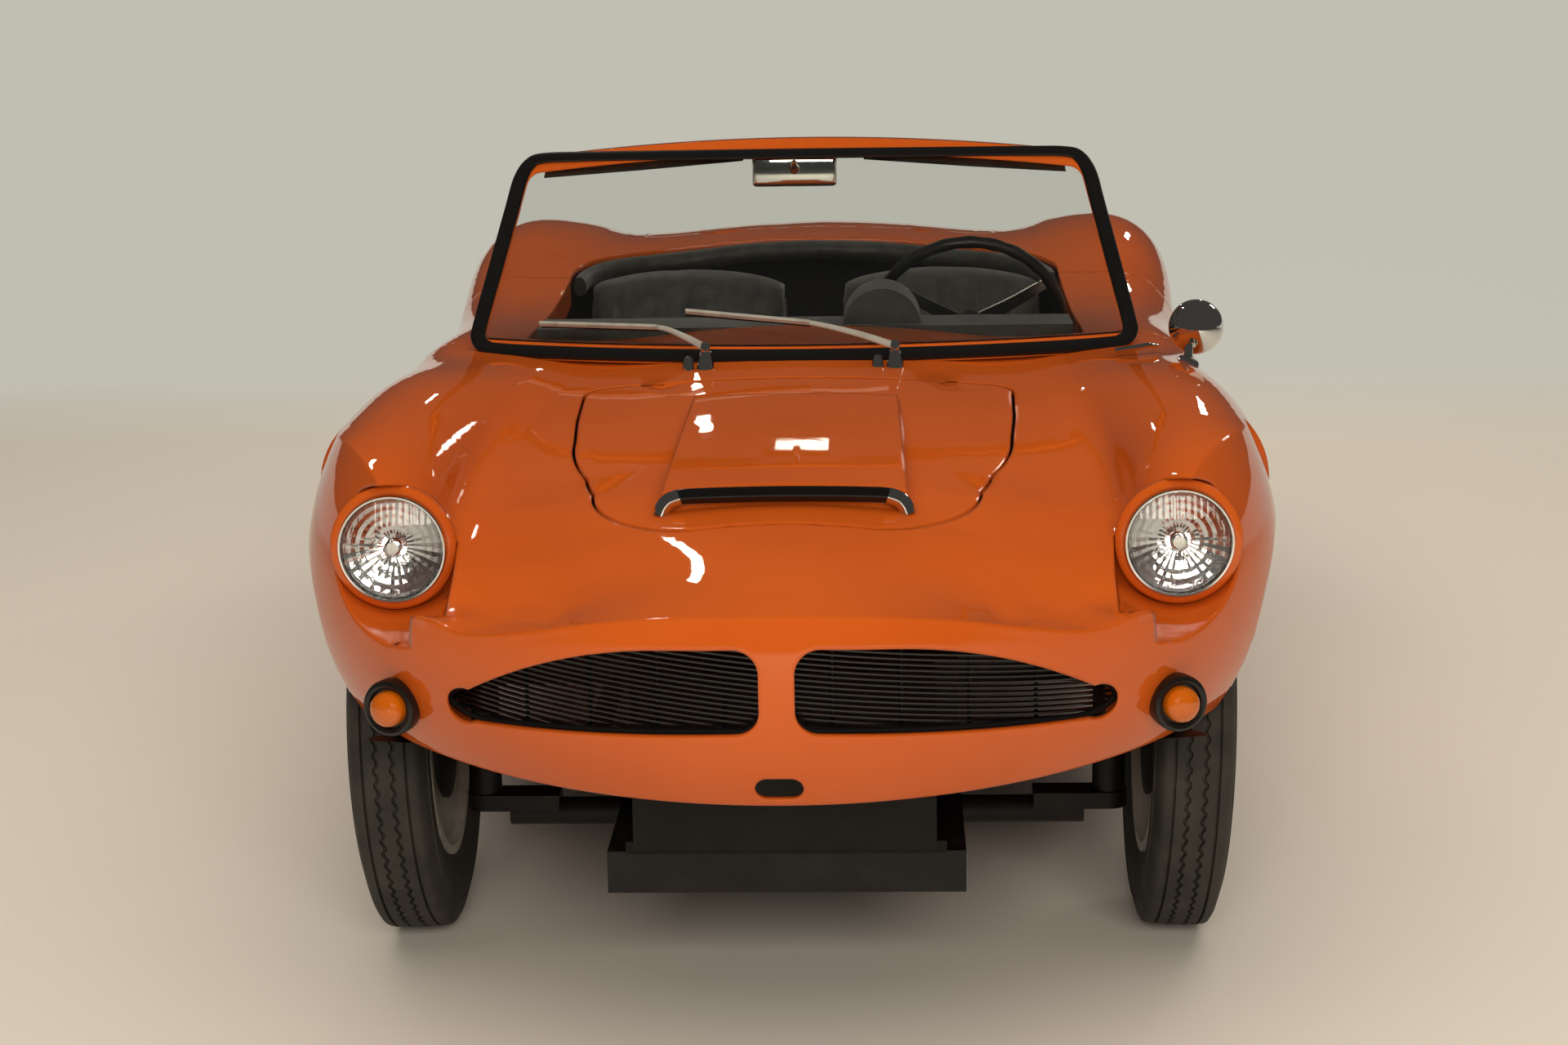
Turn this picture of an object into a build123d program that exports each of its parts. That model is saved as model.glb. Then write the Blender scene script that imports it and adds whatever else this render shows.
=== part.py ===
"""Open two-seat roadster: a plastic body on a platform chassis with narrow wheels.

Millimetres. +Z is up, +X is the car's left side and the front faces -Y.
The origin is on the ground, under the middle of the car.
"""
import os
from math import asin, cos, degrees, hypot, radians, sin, sqrt

from build123d import *

os.makedirs("parts", exist_ok=True)

# Length, axles and ground lines
nose_y = -1967.0
tail_y = 1967.0
front_axle_y = -1236.0
wheelbase = 2400.0
rear_axle_y = front_axle_y + wheelbase
sill_bottom_z = 262.0
nose_bottom_z = 393.0
tail_bottom_z = 380.0
lower_edge_radius = 1936.0

# Body walls and shut lines
body_wall = 12.0
door_wall = 60.0
shut_gap = 5.0
side_tuck = 45.0
inflection_share = 0.3

# Body sections: y, half width, wing crest x and z, valley x and z, centre z
SECTIONS = [
    (-2060.0, 720.0, 585.0, 662.0, 440.0, 640.0, 646.0),
    (-1790.0, 735.0, 595.0, 715.0, 455.0, 668.0, 706.0),
    (-1660.0, 742.0, 600.0, 778.0, 458.0, 690.0, 731.0),
    (-1480.0, 745.0, 608.0, 820.0, 455.0, 716.0, 753.0),
    (-1236.0, 745.0, 614.0, 836.0, 448.0, 746.0, 775.0),
    (-830.0, 745.0, 620.0, 832.0, 412.0, 785.0, 803.0),
    (-420.0, 743.0, 618.0, 820.0, 400.0, 816.0, 840.0),
    (20.0, 745.0, 612.0, 812.0, 400.0, 824.0, 862.0),
    (420.0, 762.0, 622.0, 842.0, 410.0, 850.0, 882.0),
    (800.0, 785.0, 655.0, 886.0, 425.0, 868.0, 890.0),
    (1164.0, 788.0, 655.0, 884.0, 425.0, 846.0, 872.0),
    (1560.0, 768.0, 630.0, 826.0, 420.0, 786.0, 812.0),
    (2060.0, 700.0, 560.0, 690.0, 400.0, 664.0, 684.0),
]

# Round ends of the body, turned about an upright axis: radii and heights
nose_radius = 757.0
nose_wide_z = 590.0
nose_shoulder_radius = 445.0
nose_top_z = 860.0
nose_tuck = 72.0
tail_radius = 800.0
tail_wide_z = 600.0
tail_shoulder_radius = 520.0
tail_top_z = 940.0
tail_tuck = 60.0
form_clear = 100.0

# Wheels
tyre_radius = 310.0
tyre_width = 124.0
tread_width = 100.0
rim_radius = 190.0
rim_width = 104.0
rim_wall = 6.0
wheel_dish = 14.0
hub_radius = 40.0
hubcap_radius = 92.0
stub_radius = 17.0
running_fit = 0.08
hub_x = 603.0
rear_hub_x = 640.0
camber_deg = 2.0
arch_radius = 372.0
arch_inner_x = 465.0
liner_wall = 8.0

# Wheel centre heights: the lowest point of a leaning tyre is on the edge of its tread
front_hub_z = tyre_radius * cos(radians(camber_deg)) + tread_width / 2 * sin(radians(camber_deg))
rear_hub_z = tyre_radius

# Steering pivots and front axle
kingpin_x = 497.0
kingpin_radius = 10.0
upright_radius = 26.0
upright_low_z = 212.0
upright_high_z = 412.0
axial_gap = 1.0
beam_z = 178.0
beam_radius = 22.0
arm_height = 26.0
arm_width = 58.0
backplate_radius = 108.0
backplate_wall = 6.0
rear_tube_y = 790.0

# Doors
door_front_y = -401.0
door_length = 806.0
door_bottom_z = 330.0
door_inner_x = 512.0
hinge_x = 752.0
hinge_y = door_front_y - shut_gap / 2

# Cockpit opening
cockpit_front_y = -400.0
cockpit_rear_y = 640.0
cockpit_corner = 230.0
sill_rear_y = 420.0
sill_inner_x = 600.0

# Bonnet lid, seen from above
bonnet_rear_y = -790.0
bonnet_front_y = -1648.0
bonnet_half_width = 360.0
bonnet_mid_y = -1180.0
bonnet_mid_x = 350.0
bonnet_front_x = 130.0
bonnet_corner = 45.0

# Scoop on the bonnet lid
scoop_front_y = -1560.0
scoop_rear_y = -956.0
scoop_front_x = 178.0
scoop_rear_x = 168.0
scoop_front_height = 30.0
scoop_rear_height = 11.0
lip_height = 14.0
lip_depth = 16.0

# Boot lid, seen from above
boot_front_y = 880.0
boot_rear_y = 1640.0
boot_half_width = 395.0
boot_corner = 110.0

# Nose openings, front view: right hand one, x then z
nostril_inner_x = 24.0
nostril_tip_x = 464.0
nostril_bottom_z = 507.0
nostril_top_z = 627.0
nostril_corner = 34.0
nostril_tip_z = 515.0
grille_setback = 46.0
grille_wall = 5.0
slat_height = 4.0
slat_count = 7
crank_z = 423.0
crank_half_width = 33.0
crank_half_height = 17.0

# Headlamps
lamp_x = 566.0
lamp_z = 690.0
lamp_radius = 89.0
lamp_lens_radius = 81.0
lamp_face_y = -1606.0
lamp_crown = 14.0
bowl_wall = 5.0
recess_x = 577.0
recess_z = 684.0
recess_radius = 114.0
recess_back_radius = 93.0
recess_back_y = -1578.0
recess_mouth_y = -1760.0
recess_wall = 9.0
indicator_x = 551.0
indicator_z = 487.0
indicator_radius = 41.0
indicator_lens_radius = 22.0
indicator_depth = 30.0

# Tail lamps: x, z and radius
TAIL_LAMPS = [
    (430.0, 640.0, 44.0),
    (545.0, 640.0, 44.0),
]
tail_lamp_depth = 34.0

# Windscreen: front face at two heights, its outline in front view and its walls
screen_low_z = 826.0
screen_high_z = 1172.0
screen_low_y = -639.0
screen_high_y = -309.0
screen_low_radius = 1369.0
screen_high_radius = 1690.0
screen_bottom_z = 808.0
screen_bottom_x = 612.0
screen_corner_z = 1138.0
screen_corner_x = 534.0
screen_top_z = 1176.0
screen_frame_width = 27.0
screen_top_corner = 58.0
screen_bottom_corner = 34.0
screen_frame_wall = 33.0
glass_wall = 8.0
glass_setback = 10.0
visor_thickness = 14.0

# Cockpit fittings
dash_front_y = -470.0
dash_rear_y = -215.0
dash_half_width = 492.0
dash_bottom_z = 610.0
dash_top_z = 838.0
dash_round = 55.0
cowl_x = 143.0
cowl_radius = 72.0
cowl_top_z = 903.0
cowl_length = 150.0
wheel_x = 310.0
wheel_y = -60.0
wheel_z = 797.0
wheel_radius = 180.0
wheel_rim_radius = 12.0
column_deg = 25.0
column_radius = 19.0
seat_x = 268.0
seat_width = 440.0
seat_round = 18.0
soft_gap = 0.3
floor_wall = 12.0
tunnel_half_width = 42.0
tunnel_height = 90.0
firewall_y = -762.0
firewall_wall = 10.0
bulkhead_y = 655.0
bulkhead_wall = 10.0
boot_floor_z = 470.0
rail_x = 230.0
rail_front_y = -1700.0
rail_rear_y = 1660.0
rail_width = 56.0
rail_height = 62.0
jack_pad_width = 50.0
jack_pad_length = 90.0
jack_pad_height = 10.0


# Body form
def bow(start, end, tangent):
    """The middle of the arc that leaves start along tangent and ends at end."""
    chord = (end[0] - start[0], end[1] - start[1])
    length = hypot(*chord)
    along = (chord[0] * tangent[0] + chord[1] * tangent[1]) / length
    side = (tangent[0] - chord[0] / length * along, tangent[1] - chord[1] / length * along)
    rise = length / 2 * hypot(*side) / (1 + along) / hypot(*side)
    middle = ((start[0] + end[0]) / 2, (start[1] + end[1]) / 2)
    return (middle[0] + side[0] * rise, middle[1] + side[1] * rise)


def share_point(start, end, share):
    return (start[0] + (end[0] - start[0]) * share, start[1] + (end[1] - start[1]) * share)


deck_low_z = 560.0


def half_section(row, inset, bottom_z):
    """Arcs from the bottom corner up over the wing to the centre line, as start, middle and end."""
    y, half_width, crest_x, crest_z, valley_x, valley_z, centre_z = row
    side_x = half_width - inset
    crest = (crest_x, crest_z - inset)
    valley = (valley_x, valley_z - inset)
    centre = (0.0, centre_z - inset)
    waist = (side_x, crest[1] - (side_x - crest_x))
    corner = (side_x - side_tuck, bottom_z)
    turn_out = share_point(crest, valley, 1 - inflection_share)
    turn_in = share_point(valley, centre, inflection_share)
    level = (-1.0, 0.0)
    return [
        (corner, bow(waist, corner, (0.0, -1.0)), waist),
        (waist, bow(waist, crest, (0.0, 1.0)), crest),
        (crest, bow(crest, turn_out, level), turn_out),
        (turn_out, bow(valley, turn_out, (1.0, 0.0)), valley),
        (valley, bow(valley, turn_in, level), turn_in),
        (turn_in, bow(centre, turn_in, (1.0, 0.0)), centre),
    ]


def mirrored(point):
    return (-point[0], point[1])


def body_form(inset, bottom_z):
    """The whole body as one solid, its skin moved inwards by inset."""
    with BuildPart() as form:
        for row in SECTIONS:
            arcs = half_section(row, inset, bottom_z)
            with BuildSketch(Plane.XZ.offset(-row[0])):
                with BuildLine():
                    for start, middle, end in arcs:
                        ThreePointArc(start, middle, end)
                    for start, middle, end in reversed(arcs):
                        ThreePointArc(mirrored(end), mirrored(middle), mirrored(start))
                    Line(mirrored(arcs[0][0]), arcs[0][0])
                make_face()
        loft()
    return form.part


def round_end(direction, end_y, radius, wide_z, shoulder, top_z, tuck, bottom_z, inset):
    """What lies outside a round end of the body, to be taken off its form."""
    centre_y = end_y - direction * radius
    wide = radius - inset
    drop = shoulder - inset
    top_r = wide - drop + sqrt(drop ** 2 - (top_z - wide_z) ** 2)
    foot_r = wide - tuck
    with BuildPart() as turned:
        with BuildSketch(Plane.XZ.offset(-centre_y)):
            with BuildLine():
                Line((0, 0), (foot_r, 0))
                Line((foot_r, 0), (foot_r, bottom_z))
                foot = (foot_r, bottom_z)
                ThreePointArc(foot, bow((wide, wide_z), foot, (0.0, -1.0)), (wide, wide_z))
                ThreePointArc((wide, wide_z), bow((wide, wide_z), (top_r, top_z), (0.0, 1.0)), (top_r, top_z))
                Line((top_r, top_z), (0, top_z + form_clear))
                Line((0, top_z + form_clear), (0, 0))
            make_face()
        revolve(axis=Axis((0, centre_y, 0), (0, 0, 1)))
    depth = radius + 2 * form_clear
    with BuildPart() as outside:
        with Locations((0, centre_y + direction * depth / 2, top_z / 2)):
            Box(4 * radius, depth, top_z + 3 * form_clear)
        add(turned.part, mode=Mode.SUBTRACT)
    return outside.part


def shaped_body(inset, bottom_z):
    """The body form with its round nose and tail."""
    with BuildPart() as shaped:
        add(body_form(inset, bottom_z))
        add(round_end(-1, nose_y, nose_radius, nose_wide_z, nose_shoulder_radius, nose_top_z,
                      nose_tuck, nose_bottom_z, inset), mode=Mode.SUBTRACT)
        add(round_end(1, tail_y, tail_radius, tail_wide_z, tail_shoulder_radius, tail_top_z,
                      tail_tuck, tail_bottom_z, inset), mode=Mode.SUBTRACT)
    return shaped.part



def slab(x, y, z):
    """A plain block between pairs of limits, used as a cutter or a zone."""
    with BuildPart() as block:
        with Locations(((x[0] + x[1]) / 2, (y[0] + y[1]) / 2, (z[0] + z[1]) / 2)):
            Box(x[1] - x[0], y[1] - y[0], z[1] - z[0])
    return block.part


def upright_drum(x, y, radius, low_z, high_z):
    """A plain upright cylinder, used as a cutter or a zone."""
    with BuildPart() as drum:
        with BuildSketch(Plane.XY.offset(low_z)):
            with Locations((x, y)):
                Circle(radius)
        extrude(amount=high_z - low_z)
    return drum.part


def finish(shape, name):
    """Label a finished piece and write it."""
    shape.label = name
    export_step(shape, f"parts/{name}.step")


side_limit = 1000.0
sky_z = 1400.0
outer = shaped_body(0.0, sill_bottom_z)
core = shaped_body(body_wall, sill_bottom_z - form_clear)
door_core = shaped_body(door_wall, sill_bottom_z - form_clear)


# Cutters that belong to the body
def cross_drum(y, z, radius, x_from, x_to):
    """A cylinder along X between two places."""
    with BuildPart() as drum:
        with BuildSketch(Plane.YZ.offset(x_from)):
            with Locations((y, z)):
                Circle(radius)
        extrude(amount=x_to - x_from)
    return drum.part


def lower_edge(direction, from_y, bottom_z):
    """What lies under the curved lower edge of the nose or tail."""
    centre_z = bottom_z + lower_edge_radius
    edge_z = centre_z - sqrt(lower_edge_radius ** 2 - side_limit ** 2)
    reach = 2200.0
    with BuildPart() as under:
        with BuildSketch(Plane.XZ.offset(-from_y)):
            with BuildLine():
                ThreePointArc((-side_limit, edge_z), (0, bottom_z), (side_limit, edge_z))
                Line((side_limit, edge_z), (side_limit, 0))
                Line((side_limit, 0), (-side_limit, 0))
                Line((-side_limit, 0), (-side_limit, edge_z))
            make_face()
        extrude(amount=-direction * (reach - abs(from_y)))
    return under.part



def plan_prism(outline, low_z, high_z, grow=0.0):
    """An upright prism over an outline, wider all round by grow."""
    with BuildPart() as prism:
        with BuildSketch(Plane.XY.offset(low_z)):
            with BuildLine():
                outline()
            make_face()
            if grow:
                offset(amount=grow)
        extrude(amount=high_z - low_z)
    return prism.part


def bonnet_outline():
    rear, front, half = bonnet_rear_y, bonnet_front_y, bonnet_half_width
    corner = bonnet_corner
    shoulder = (bonnet_mid_x - 78.0, bonnet_mid_y - 270.0)
    Line((-half + corner, rear), (half - corner, rear))
    for s in (1, -1):
        corner_middle = (s * (half - corner * 0.293), rear - corner * 0.293)
        ThreePointArc((s * (half - corner), rear), corner_middle, (s * half, rear - corner))
        Line((s * half, rear - corner), (s * bonnet_mid_x, bonnet_mid_y))
        ThreePointArc((s * bonnet_mid_x, bonnet_mid_y), (s * (bonnet_mid_x - 26.0), bonnet_mid_y - 145.0),
                      (s * shoulder[0], shoulder[1]))
        ThreePointArc((s * shoulder[0], shoulder[1]), (s * 222.0, front + 52.0), (s * bonnet_front_x, front))
    Line((-bonnet_front_x, front), (bonnet_front_x, front))


def scoop_outline():
    Line((-scoop_rear_x, scoop_rear_y), (scoop_rear_x, scoop_rear_y))
    Line((scoop_rear_x, scoop_rear_y), (scoop_front_x, scoop_front_y))
    Line((scoop_front_x, scoop_front_y), (-scoop_front_x, scoop_front_y))
    Line((-scoop_front_x, scoop_front_y), (-scoop_rear_x, scoop_rear_y))


def rounded_plan(x, y, corners, low_z, high_z, grow=0.0):
    """An upright block with rounded upright edges: the front pair, then the rear pair."""
    with BuildPart() as block:
        with BuildSketch(Plane.XY.offset(low_z)):
            with Locations(((x[0] + x[1]) / 2, (y[0] + y[1]) / 2)):
                Rectangle(x[1] - x[0] + 2 * grow, y[1] - y[0] + 2 * grow)
            fillet(vertices().group_by(Axis.Y)[0], corners[0] + grow)
            fillet(vertices().group_by(Axis.Y)[-1], corners[1] + grow)
        extrude(amount=high_z - low_z)
    return block.part


def nostril_outline():
    """The right hand nose opening in front view: blunt inside, drawn out to a rounded tip."""
    x0, x1 = nostril_inner_x, nostril_tip_x
    low, high, corner = nostril_bottom_z, nostril_top_z, nostril_corner
    inset = corner * 0.293
    Line((x0 + corner, low), (x1 - 40.0, low - 17.0))
    ThreePointArc((x1 - 40.0, low - 17.0), (x1, nostril_tip_z), (x1 - 34.0, nostril_tip_z + 24.0))
    ThreePointArc((x1 - 34.0, nostril_tip_z + 24.0), (x1 - 165.0, high - 27.0), (x0 + 130.0, high - 3.0))
    Line((x0 + 130.0, high - 3.0), (x0 + corner, high))
    ThreePointArc((x0 + corner, high), (x0 + inset, high - inset), (x0, high - corner))
    Line((x0, high - corner), (x0, low + corner))
    ThreePointArc((x0, low + corner), (x0 + inset, low + inset), (x0 + corner, low))


def nostrils():
    """Both nose openings as cutters along Y."""
    with BuildPart() as openings:
        with BuildSketch(Plane.XZ.offset(-(nose_y + nose_radius / 2))):
            with BuildLine():
                nostril_outline()
            make_face()
            mirror(about=Plane.YZ)
        extrude(amount=nose_radius)
    return openings.part


def lamp_cone(side, wall):
    """The slanting round recess of a headlamp as a solid, wider by wall."""
    with BuildPart() as cone:
        with BuildSketch(Plane.XZ.offset(-(recess_mouth_y))):
            with Locations((side * recess_x, recess_z)):
                Circle(recess_radius + wall)
        with BuildSketch(Plane.XZ.offset(-(recess_back_y + wall))):
            with Locations((side * lamp_x, lamp_z)):
                Circle(recess_back_radius + wall)
        loft()
    return cone.part


def hinge_drum(side, radius):
    """The upright cylinder about a door hinge that shapes the door's rear edge."""
    return upright_drum(side * hinge_x, hinge_y, radius, door_bottom_z, sky_z)


cockpit_void = rounded_plan((-door_inner_x, door_inner_x), (cockpit_front_y, cockpit_rear_y),
                            (20.0, cockpit_corner), deck_low_z, sky_z)

# Barrel hinges: one half on the body, the other on the door or lid
hinge_barrel_radius = 7.0
hinge_half = 20.0
hinge_fit = 0.3
hinge_leaf = 5.0
DOOR_HINGE_Z = [455.0, 690.0]
LID_HINGE_X = [250.0, -250.0]
bonnet_hinge_y = bonnet_rear_y + shut_gap / 2
bonnet_hinge_z = 812.0
boot_hinge_y = boot_front_y - shut_gap / 2
boot_hinge_z = 897.0
lid_leaf_reach = 26.0
lid_leaf_drop = 24.0


def lid_hinge_half(x, y, z, share, reach):
    """One half of a lid's hinge: share -1 or 1 along X, its leaf running to reach along Y."""
    x_from, x_to = sorted((x + share * hinge_fit / 2, x + share * hinge_half))
    y_from, y_to = sorted((y, y + reach))
    with BuildPart() as half:
        with BuildSketch(Plane.YZ.offset(x_from)):
            with Locations((y, z)):
                Circle(hinge_barrel_radius)
        extrude(amount=x_to - x_from)
        add(slab((x_from, x_to), (y_from, y_to), (z - lid_leaf_drop, z)))
        add(slab((x_from, x_to), sorted((y + reach * 0.15, y - reach)), (z - lid_leaf_drop, z - hinge_barrel_radius)),
            mode=Mode.SUBTRACT)
        add(core, mode=Mode.SUBTRACT)
    return half.part


def door_hinge_half(side, z, share):
    """One half of a door's hinge: share -1 is the lower half on the body, 1 the upper on the door."""
    low, high = sorted((z + share * hinge_fit / 2, z + share * hinge_half))
    leaf_y = sorted((hinge_y + share * hinge_leaf, hinge_y + share * (hinge_leaf + 22.0)))
    leaf_x = sorted((side * (hinge_x - 42.0), side * (hinge_x + 2.0)))
    bridge_x = sorted((side * (hinge_x - 2.0), side * (hinge_x + 3.0)))
    bridge_y = sorted((hinge_y, hinge_y + share * (hinge_leaf + 4.0)))
    with BuildPart() as half:
        add(upright_drum(side * hinge_x, hinge_y, hinge_barrel_radius, low, high))
        add(slab(bridge_x, bridge_y, (low, high)))
        add(slab(leaf_x, leaf_y, (low, high)))
        add(core, mode=Mode.SUBTRACT)
    return half.part


# Front and rear body
arch_cuts = []
for axle_y, axle_z in ((front_axle_y, front_hub_z), (rear_axle_y, rear_hub_z)):
    arch_cuts.append(cross_drum(axle_y, axle_z, arch_radius, arch_inner_x, side_limit))
    arch_cuts.append(cross_drum(axle_y, axle_z, arch_radius, -side_limit, -arch_inner_x))


def wheel_house(side, axle_y, axle_z, inner_wall):
    """The curved inner wall over a wheel, closed on its inner side where there is an inner wall."""
    inner_x = side * (arch_inner_x - inner_wall)
    x_from, x_to = sorted((inner_x, side * (side_limit - form_clear)))
    void_from, void_to = sorted((side * arch_inner_x, side * side_limit))
    with BuildPart() as house:
        add(cross_drum(axle_y, axle_z, arch_radius + liner_wall, x_from, x_to))
        add(cross_drum(axle_y, axle_z, arch_radius, void_from, void_to), mode=Mode.SUBTRACT)
        add(outer, mode=Mode.INTERSECT)
        add(slab((-side_limit, side_limit), (-2200, 2200), (axle_z + 40.0, sky_z)), mode=Mode.INTERSECT)
    return house.part


with BuildPart() as shell:
    add(outer)
    add(core, mode=Mode.SUBTRACT)
    for cut in arch_cuts:
        add(cut, mode=Mode.SUBTRACT)
    add(lower_edge(-1, front_axle_y, nose_bottom_z), mode=Mode.SUBTRACT)
    add(lower_edge(1, rear_axle_y, tail_bottom_z), mode=Mode.SUBTRACT)

body_front_end_y = door_front_y - shut_gap
with BuildPart() as body_front:
    add(shell.part)
    add(slab((-side_limit, side_limit), (nose_y - form_clear, body_front_end_y), (0, sky_z)),
        mode=Mode.INTERSECT)
    for side in (1, -1):
        add(wheel_house(side, front_axle_y, front_hub_z, 0.0))
    add(plan_prism(bonnet_outline, deck_low_z, sky_z, shut_gap), mode=Mode.SUBTRACT)
    add(nostrils(), mode=Mode.SUBTRACT)
    with BuildSketch(Plane.XZ.offset(-(nose_y + nose_radius / 2))):
        with Locations((0, crank_z)):
            SlotOverall(2 * crank_half_width, 2 * crank_half_height)
    extrude(amount=nose_radius, mode=Mode.SUBTRACT)
    for side in (1, -1):
        with BuildPart(mode=Mode.PRIVATE) as pocket:
            add(lamp_cone(side, recess_wall))
            add(outer, mode=Mode.INTERSECT)
        add(pocket.part)
        add(lamp_cone(side, 0.0), mode=Mode.SUBTRACT)
        for z in DOOR_HINGE_Z:
            add(door_hinge_half(side, z, -1))
    for x in LID_HINGE_X:
        add(lid_hinge_half(x, bonnet_hinge_y, bonnet_hinge_z, -1, lid_leaf_reach))
finish(body_front.part, "body_front")

door_cut_radius = door_length + shut_gap
with BuildPart() as body_rear:
    add(shell.part)
    add(slab((-side_limit, side_limit), (sill_rear_y - 120.0, tail_y + form_clear), (0, sky_z)),
        mode=Mode.INTERSECT)
    add(slab((-side_limit, side_limit), (sill_rear_y - 120.0, sill_rear_y), (0, door_bottom_z - shut_gap)),
        mode=Mode.SUBTRACT)
    for side in (1, -1):
        add(wheel_house(side, rear_axle_y, rear_hub_z, liner_wall))
        add(upright_drum(side * hinge_x, hinge_y, door_cut_radius, door_bottom_z - shut_gap, sky_z),
            mode=Mode.SUBTRACT)
    add(cockpit_void, mode=Mode.SUBTRACT)
    add(rounded_plan((-boot_half_width, boot_half_width), (boot_front_y, boot_rear_y),
                     (60.0, boot_corner), deck_low_z, sky_z, shut_gap), mode=Mode.SUBTRACT)
    for x in LID_HINGE_X:
        add(lid_hinge_half(x, boot_hinge_y, boot_hinge_z, -1, -lid_leaf_reach))
finish(body_rear.part, "body_rear")

# Lids
def raised_outer():
    """The body form lifted to the height of the scoop, more at its front than at its rear."""
    slope = (scoop_front_height - scoop_rear_height) / (scoop_rear_y - scoop_front_y)
    lift = scoop_rear_height + slope * scoop_rear_y
    return outer.moved(Location((0, 0, lift), (-degrees(slope), 0, 0)))


scoop_zone = slab((-scoop_front_x, scoop_front_x), (scoop_front_y, scoop_rear_y), (deck_low_z, sky_z))
with BuildPart() as bonnet_lid:
    add(shell.part)
    add(plan_prism(bonnet_outline, deck_low_z, sky_z), mode=Mode.INTERSECT)
    with BuildPart(mode=Mode.PRIVATE) as scoop:
        add(raised_outer())
        add(plan_prism(scoop_outline, deck_low_z, sky_z), mode=Mode.INTERSECT)
        add(core, mode=Mode.SUBTRACT)
    add(scoop.part)
    for x in LID_HINGE_X:
        add(lid_hinge_half(x, bonnet_hinge_y, bonnet_hinge_z, 1, -lid_leaf_reach))
finish(bonnet_lid.part, "bonnet_lid")

lip_zone = slab((-scoop_front_x, scoop_front_x), (scoop_front_y - lip_depth, scoop_front_y - 0.3),
                (deck_low_z, sky_z))
with BuildPart() as scoop_lip:
    add(raised_outer())
    add(lip_zone, mode=Mode.INTERSECT)
    with BuildPart(mode=Mode.PRIVATE) as lip_middle:
        add(raised_outer().moved(Location((0, 0, -lip_height))))
        add(slab((-scoop_front_x + lip_height, scoop_front_x - lip_height), (scoop_front_y - 90.0, scoop_rear_y),
                 (deck_low_z, sky_z)), mode=Mode.INTERSECT)
    add(lip_middle.part, mode=Mode.SUBTRACT)
    add(outer, mode=Mode.SUBTRACT)
finish(scoop_lip.part, "scoop_lip")

with BuildPart() as boot_lid:
    add(shell.part)
    add(rounded_plan((-boot_half_width, boot_half_width), (boot_front_y, boot_rear_y),
                     (60.0, boot_corner), deck_low_z, sky_z), mode=Mode.INTERSECT)
    for x in LID_HINGE_X:
        add(lid_hinge_half(x, boot_hinge_y, boot_hinge_z, 1, lid_leaf_reach))
finish(boot_lid.part, "boot_lid")

# Doors and sills
with BuildPart() as door_skin:
    add(outer)
    add(door_core, mode=Mode.SUBTRACT)
    add(slab((-side_limit, side_limit), (door_front_y, door_front_y + door_length + shut_gap),
             (door_bottom_z, sky_z)), mode=Mode.INTERSECT)
for side, name in ((1, "left"), (-1, "right")):
    x_from, x_to = sorted((side * door_inner_x, side * side_limit))
    with BuildPart() as door:
        add(door_skin.part)
        add(slab((x_from, x_to), (door_front_y, sill_rear_y), (door_bottom_z, sky_z)), mode=Mode.INTERSECT)
        add(hinge_drum(side, door_length), mode=Mode.INTERSECT)
        for z in DOOR_HINGE_Z:
            add(door_hinge_half(side, z, 1))
    finish(door.part, f"door_{name}")

with BuildPart() as sills:
    for side in (1, -1):
        x_from, x_to = sorted((side * sill_inner_x, side * side_limit))
        with BuildPart(mode=Mode.PRIVATE) as sill:
            add(outer)
            add(slab((x_from, x_to), (body_front_end_y, sill_rear_y), (0, door_bottom_z - shut_gap)),
                mode=Mode.INTERSECT)
        add(sill.part)
finish(sills.part, "sills")

# Windscreen
screen_foot_z = 780.0
screen_head_z = 1200.0


def screen_slab(front, wall):
    """The curved and raked sheet of the windscreen, set back from its front face by front."""
    rake = (screen_high_y - screen_low_y) / (screen_high_z - screen_low_z)
    half = 700.0
    with BuildPart() as sheet:
        for z in (screen_foot_z, screen_head_z):
            share = (z - screen_low_z) / (screen_high_z - screen_low_z)
            radius = screen_low_radius + (screen_high_radius - screen_low_radius) * share
            y = screen_low_y + (z - screen_low_z) * rake + front
            sag = radius - sqrt(radius ** 2 - half ** 2)
            with BuildSketch(Plane.XY.offset(z)):
                with BuildLine():
                    ThreePointArc((-half, y + sag), (0, y), (half, y + sag))
                    Line((half, y + sag), (half, y + sag + wall))
                    ThreePointArc((half, y + sag + wall), (0, y + wall), (-half, y + sag + wall))
                    Line((-half, y + sag + wall), (-half, y + sag))
                make_face()
        loft(ruled=True)
    return sheet.part


def screen_prism(inset):
    """The windscreen's outline in front view, narrower all round by inset."""
    with BuildPart() as prism:
        with BuildSketch(Plane.XZ.offset(-0.0)):
            with BuildLine():
                Line((-screen_bottom_x, screen_bottom_z), (screen_bottom_x, screen_bottom_z))
                Line((screen_bottom_x, screen_bottom_z), (screen_corner_x, screen_corner_z))
                ThreePointArc((screen_corner_x, screen_corner_z), (0, screen_top_z),
                              (-screen_corner_x, screen_corner_z))
                Line((-screen_corner_x, screen_corner_z), (-screen_bottom_x, screen_bottom_z))
            make_face()
            fillet(vertices().group_by(Axis.Y)[-1], screen_top_corner)
            fillet(vertices().group_by(Axis.Y)[0], screen_bottom_corner)
            if inset:
                offset(amount=-inset)
        extrude(amount=900.0)
    return prism.part


with BuildPart() as windscreen_frame:
    add(screen_slab(0.0, screen_frame_wall))
    add(screen_prism(0.0), mode=Mode.INTERSECT)
    add(screen_prism(screen_frame_width), mode=Mode.SUBTRACT)
    add(outer, mode=Mode.SUBTRACT)
finish(windscreen_frame.part, "windscreen_frame")

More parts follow.
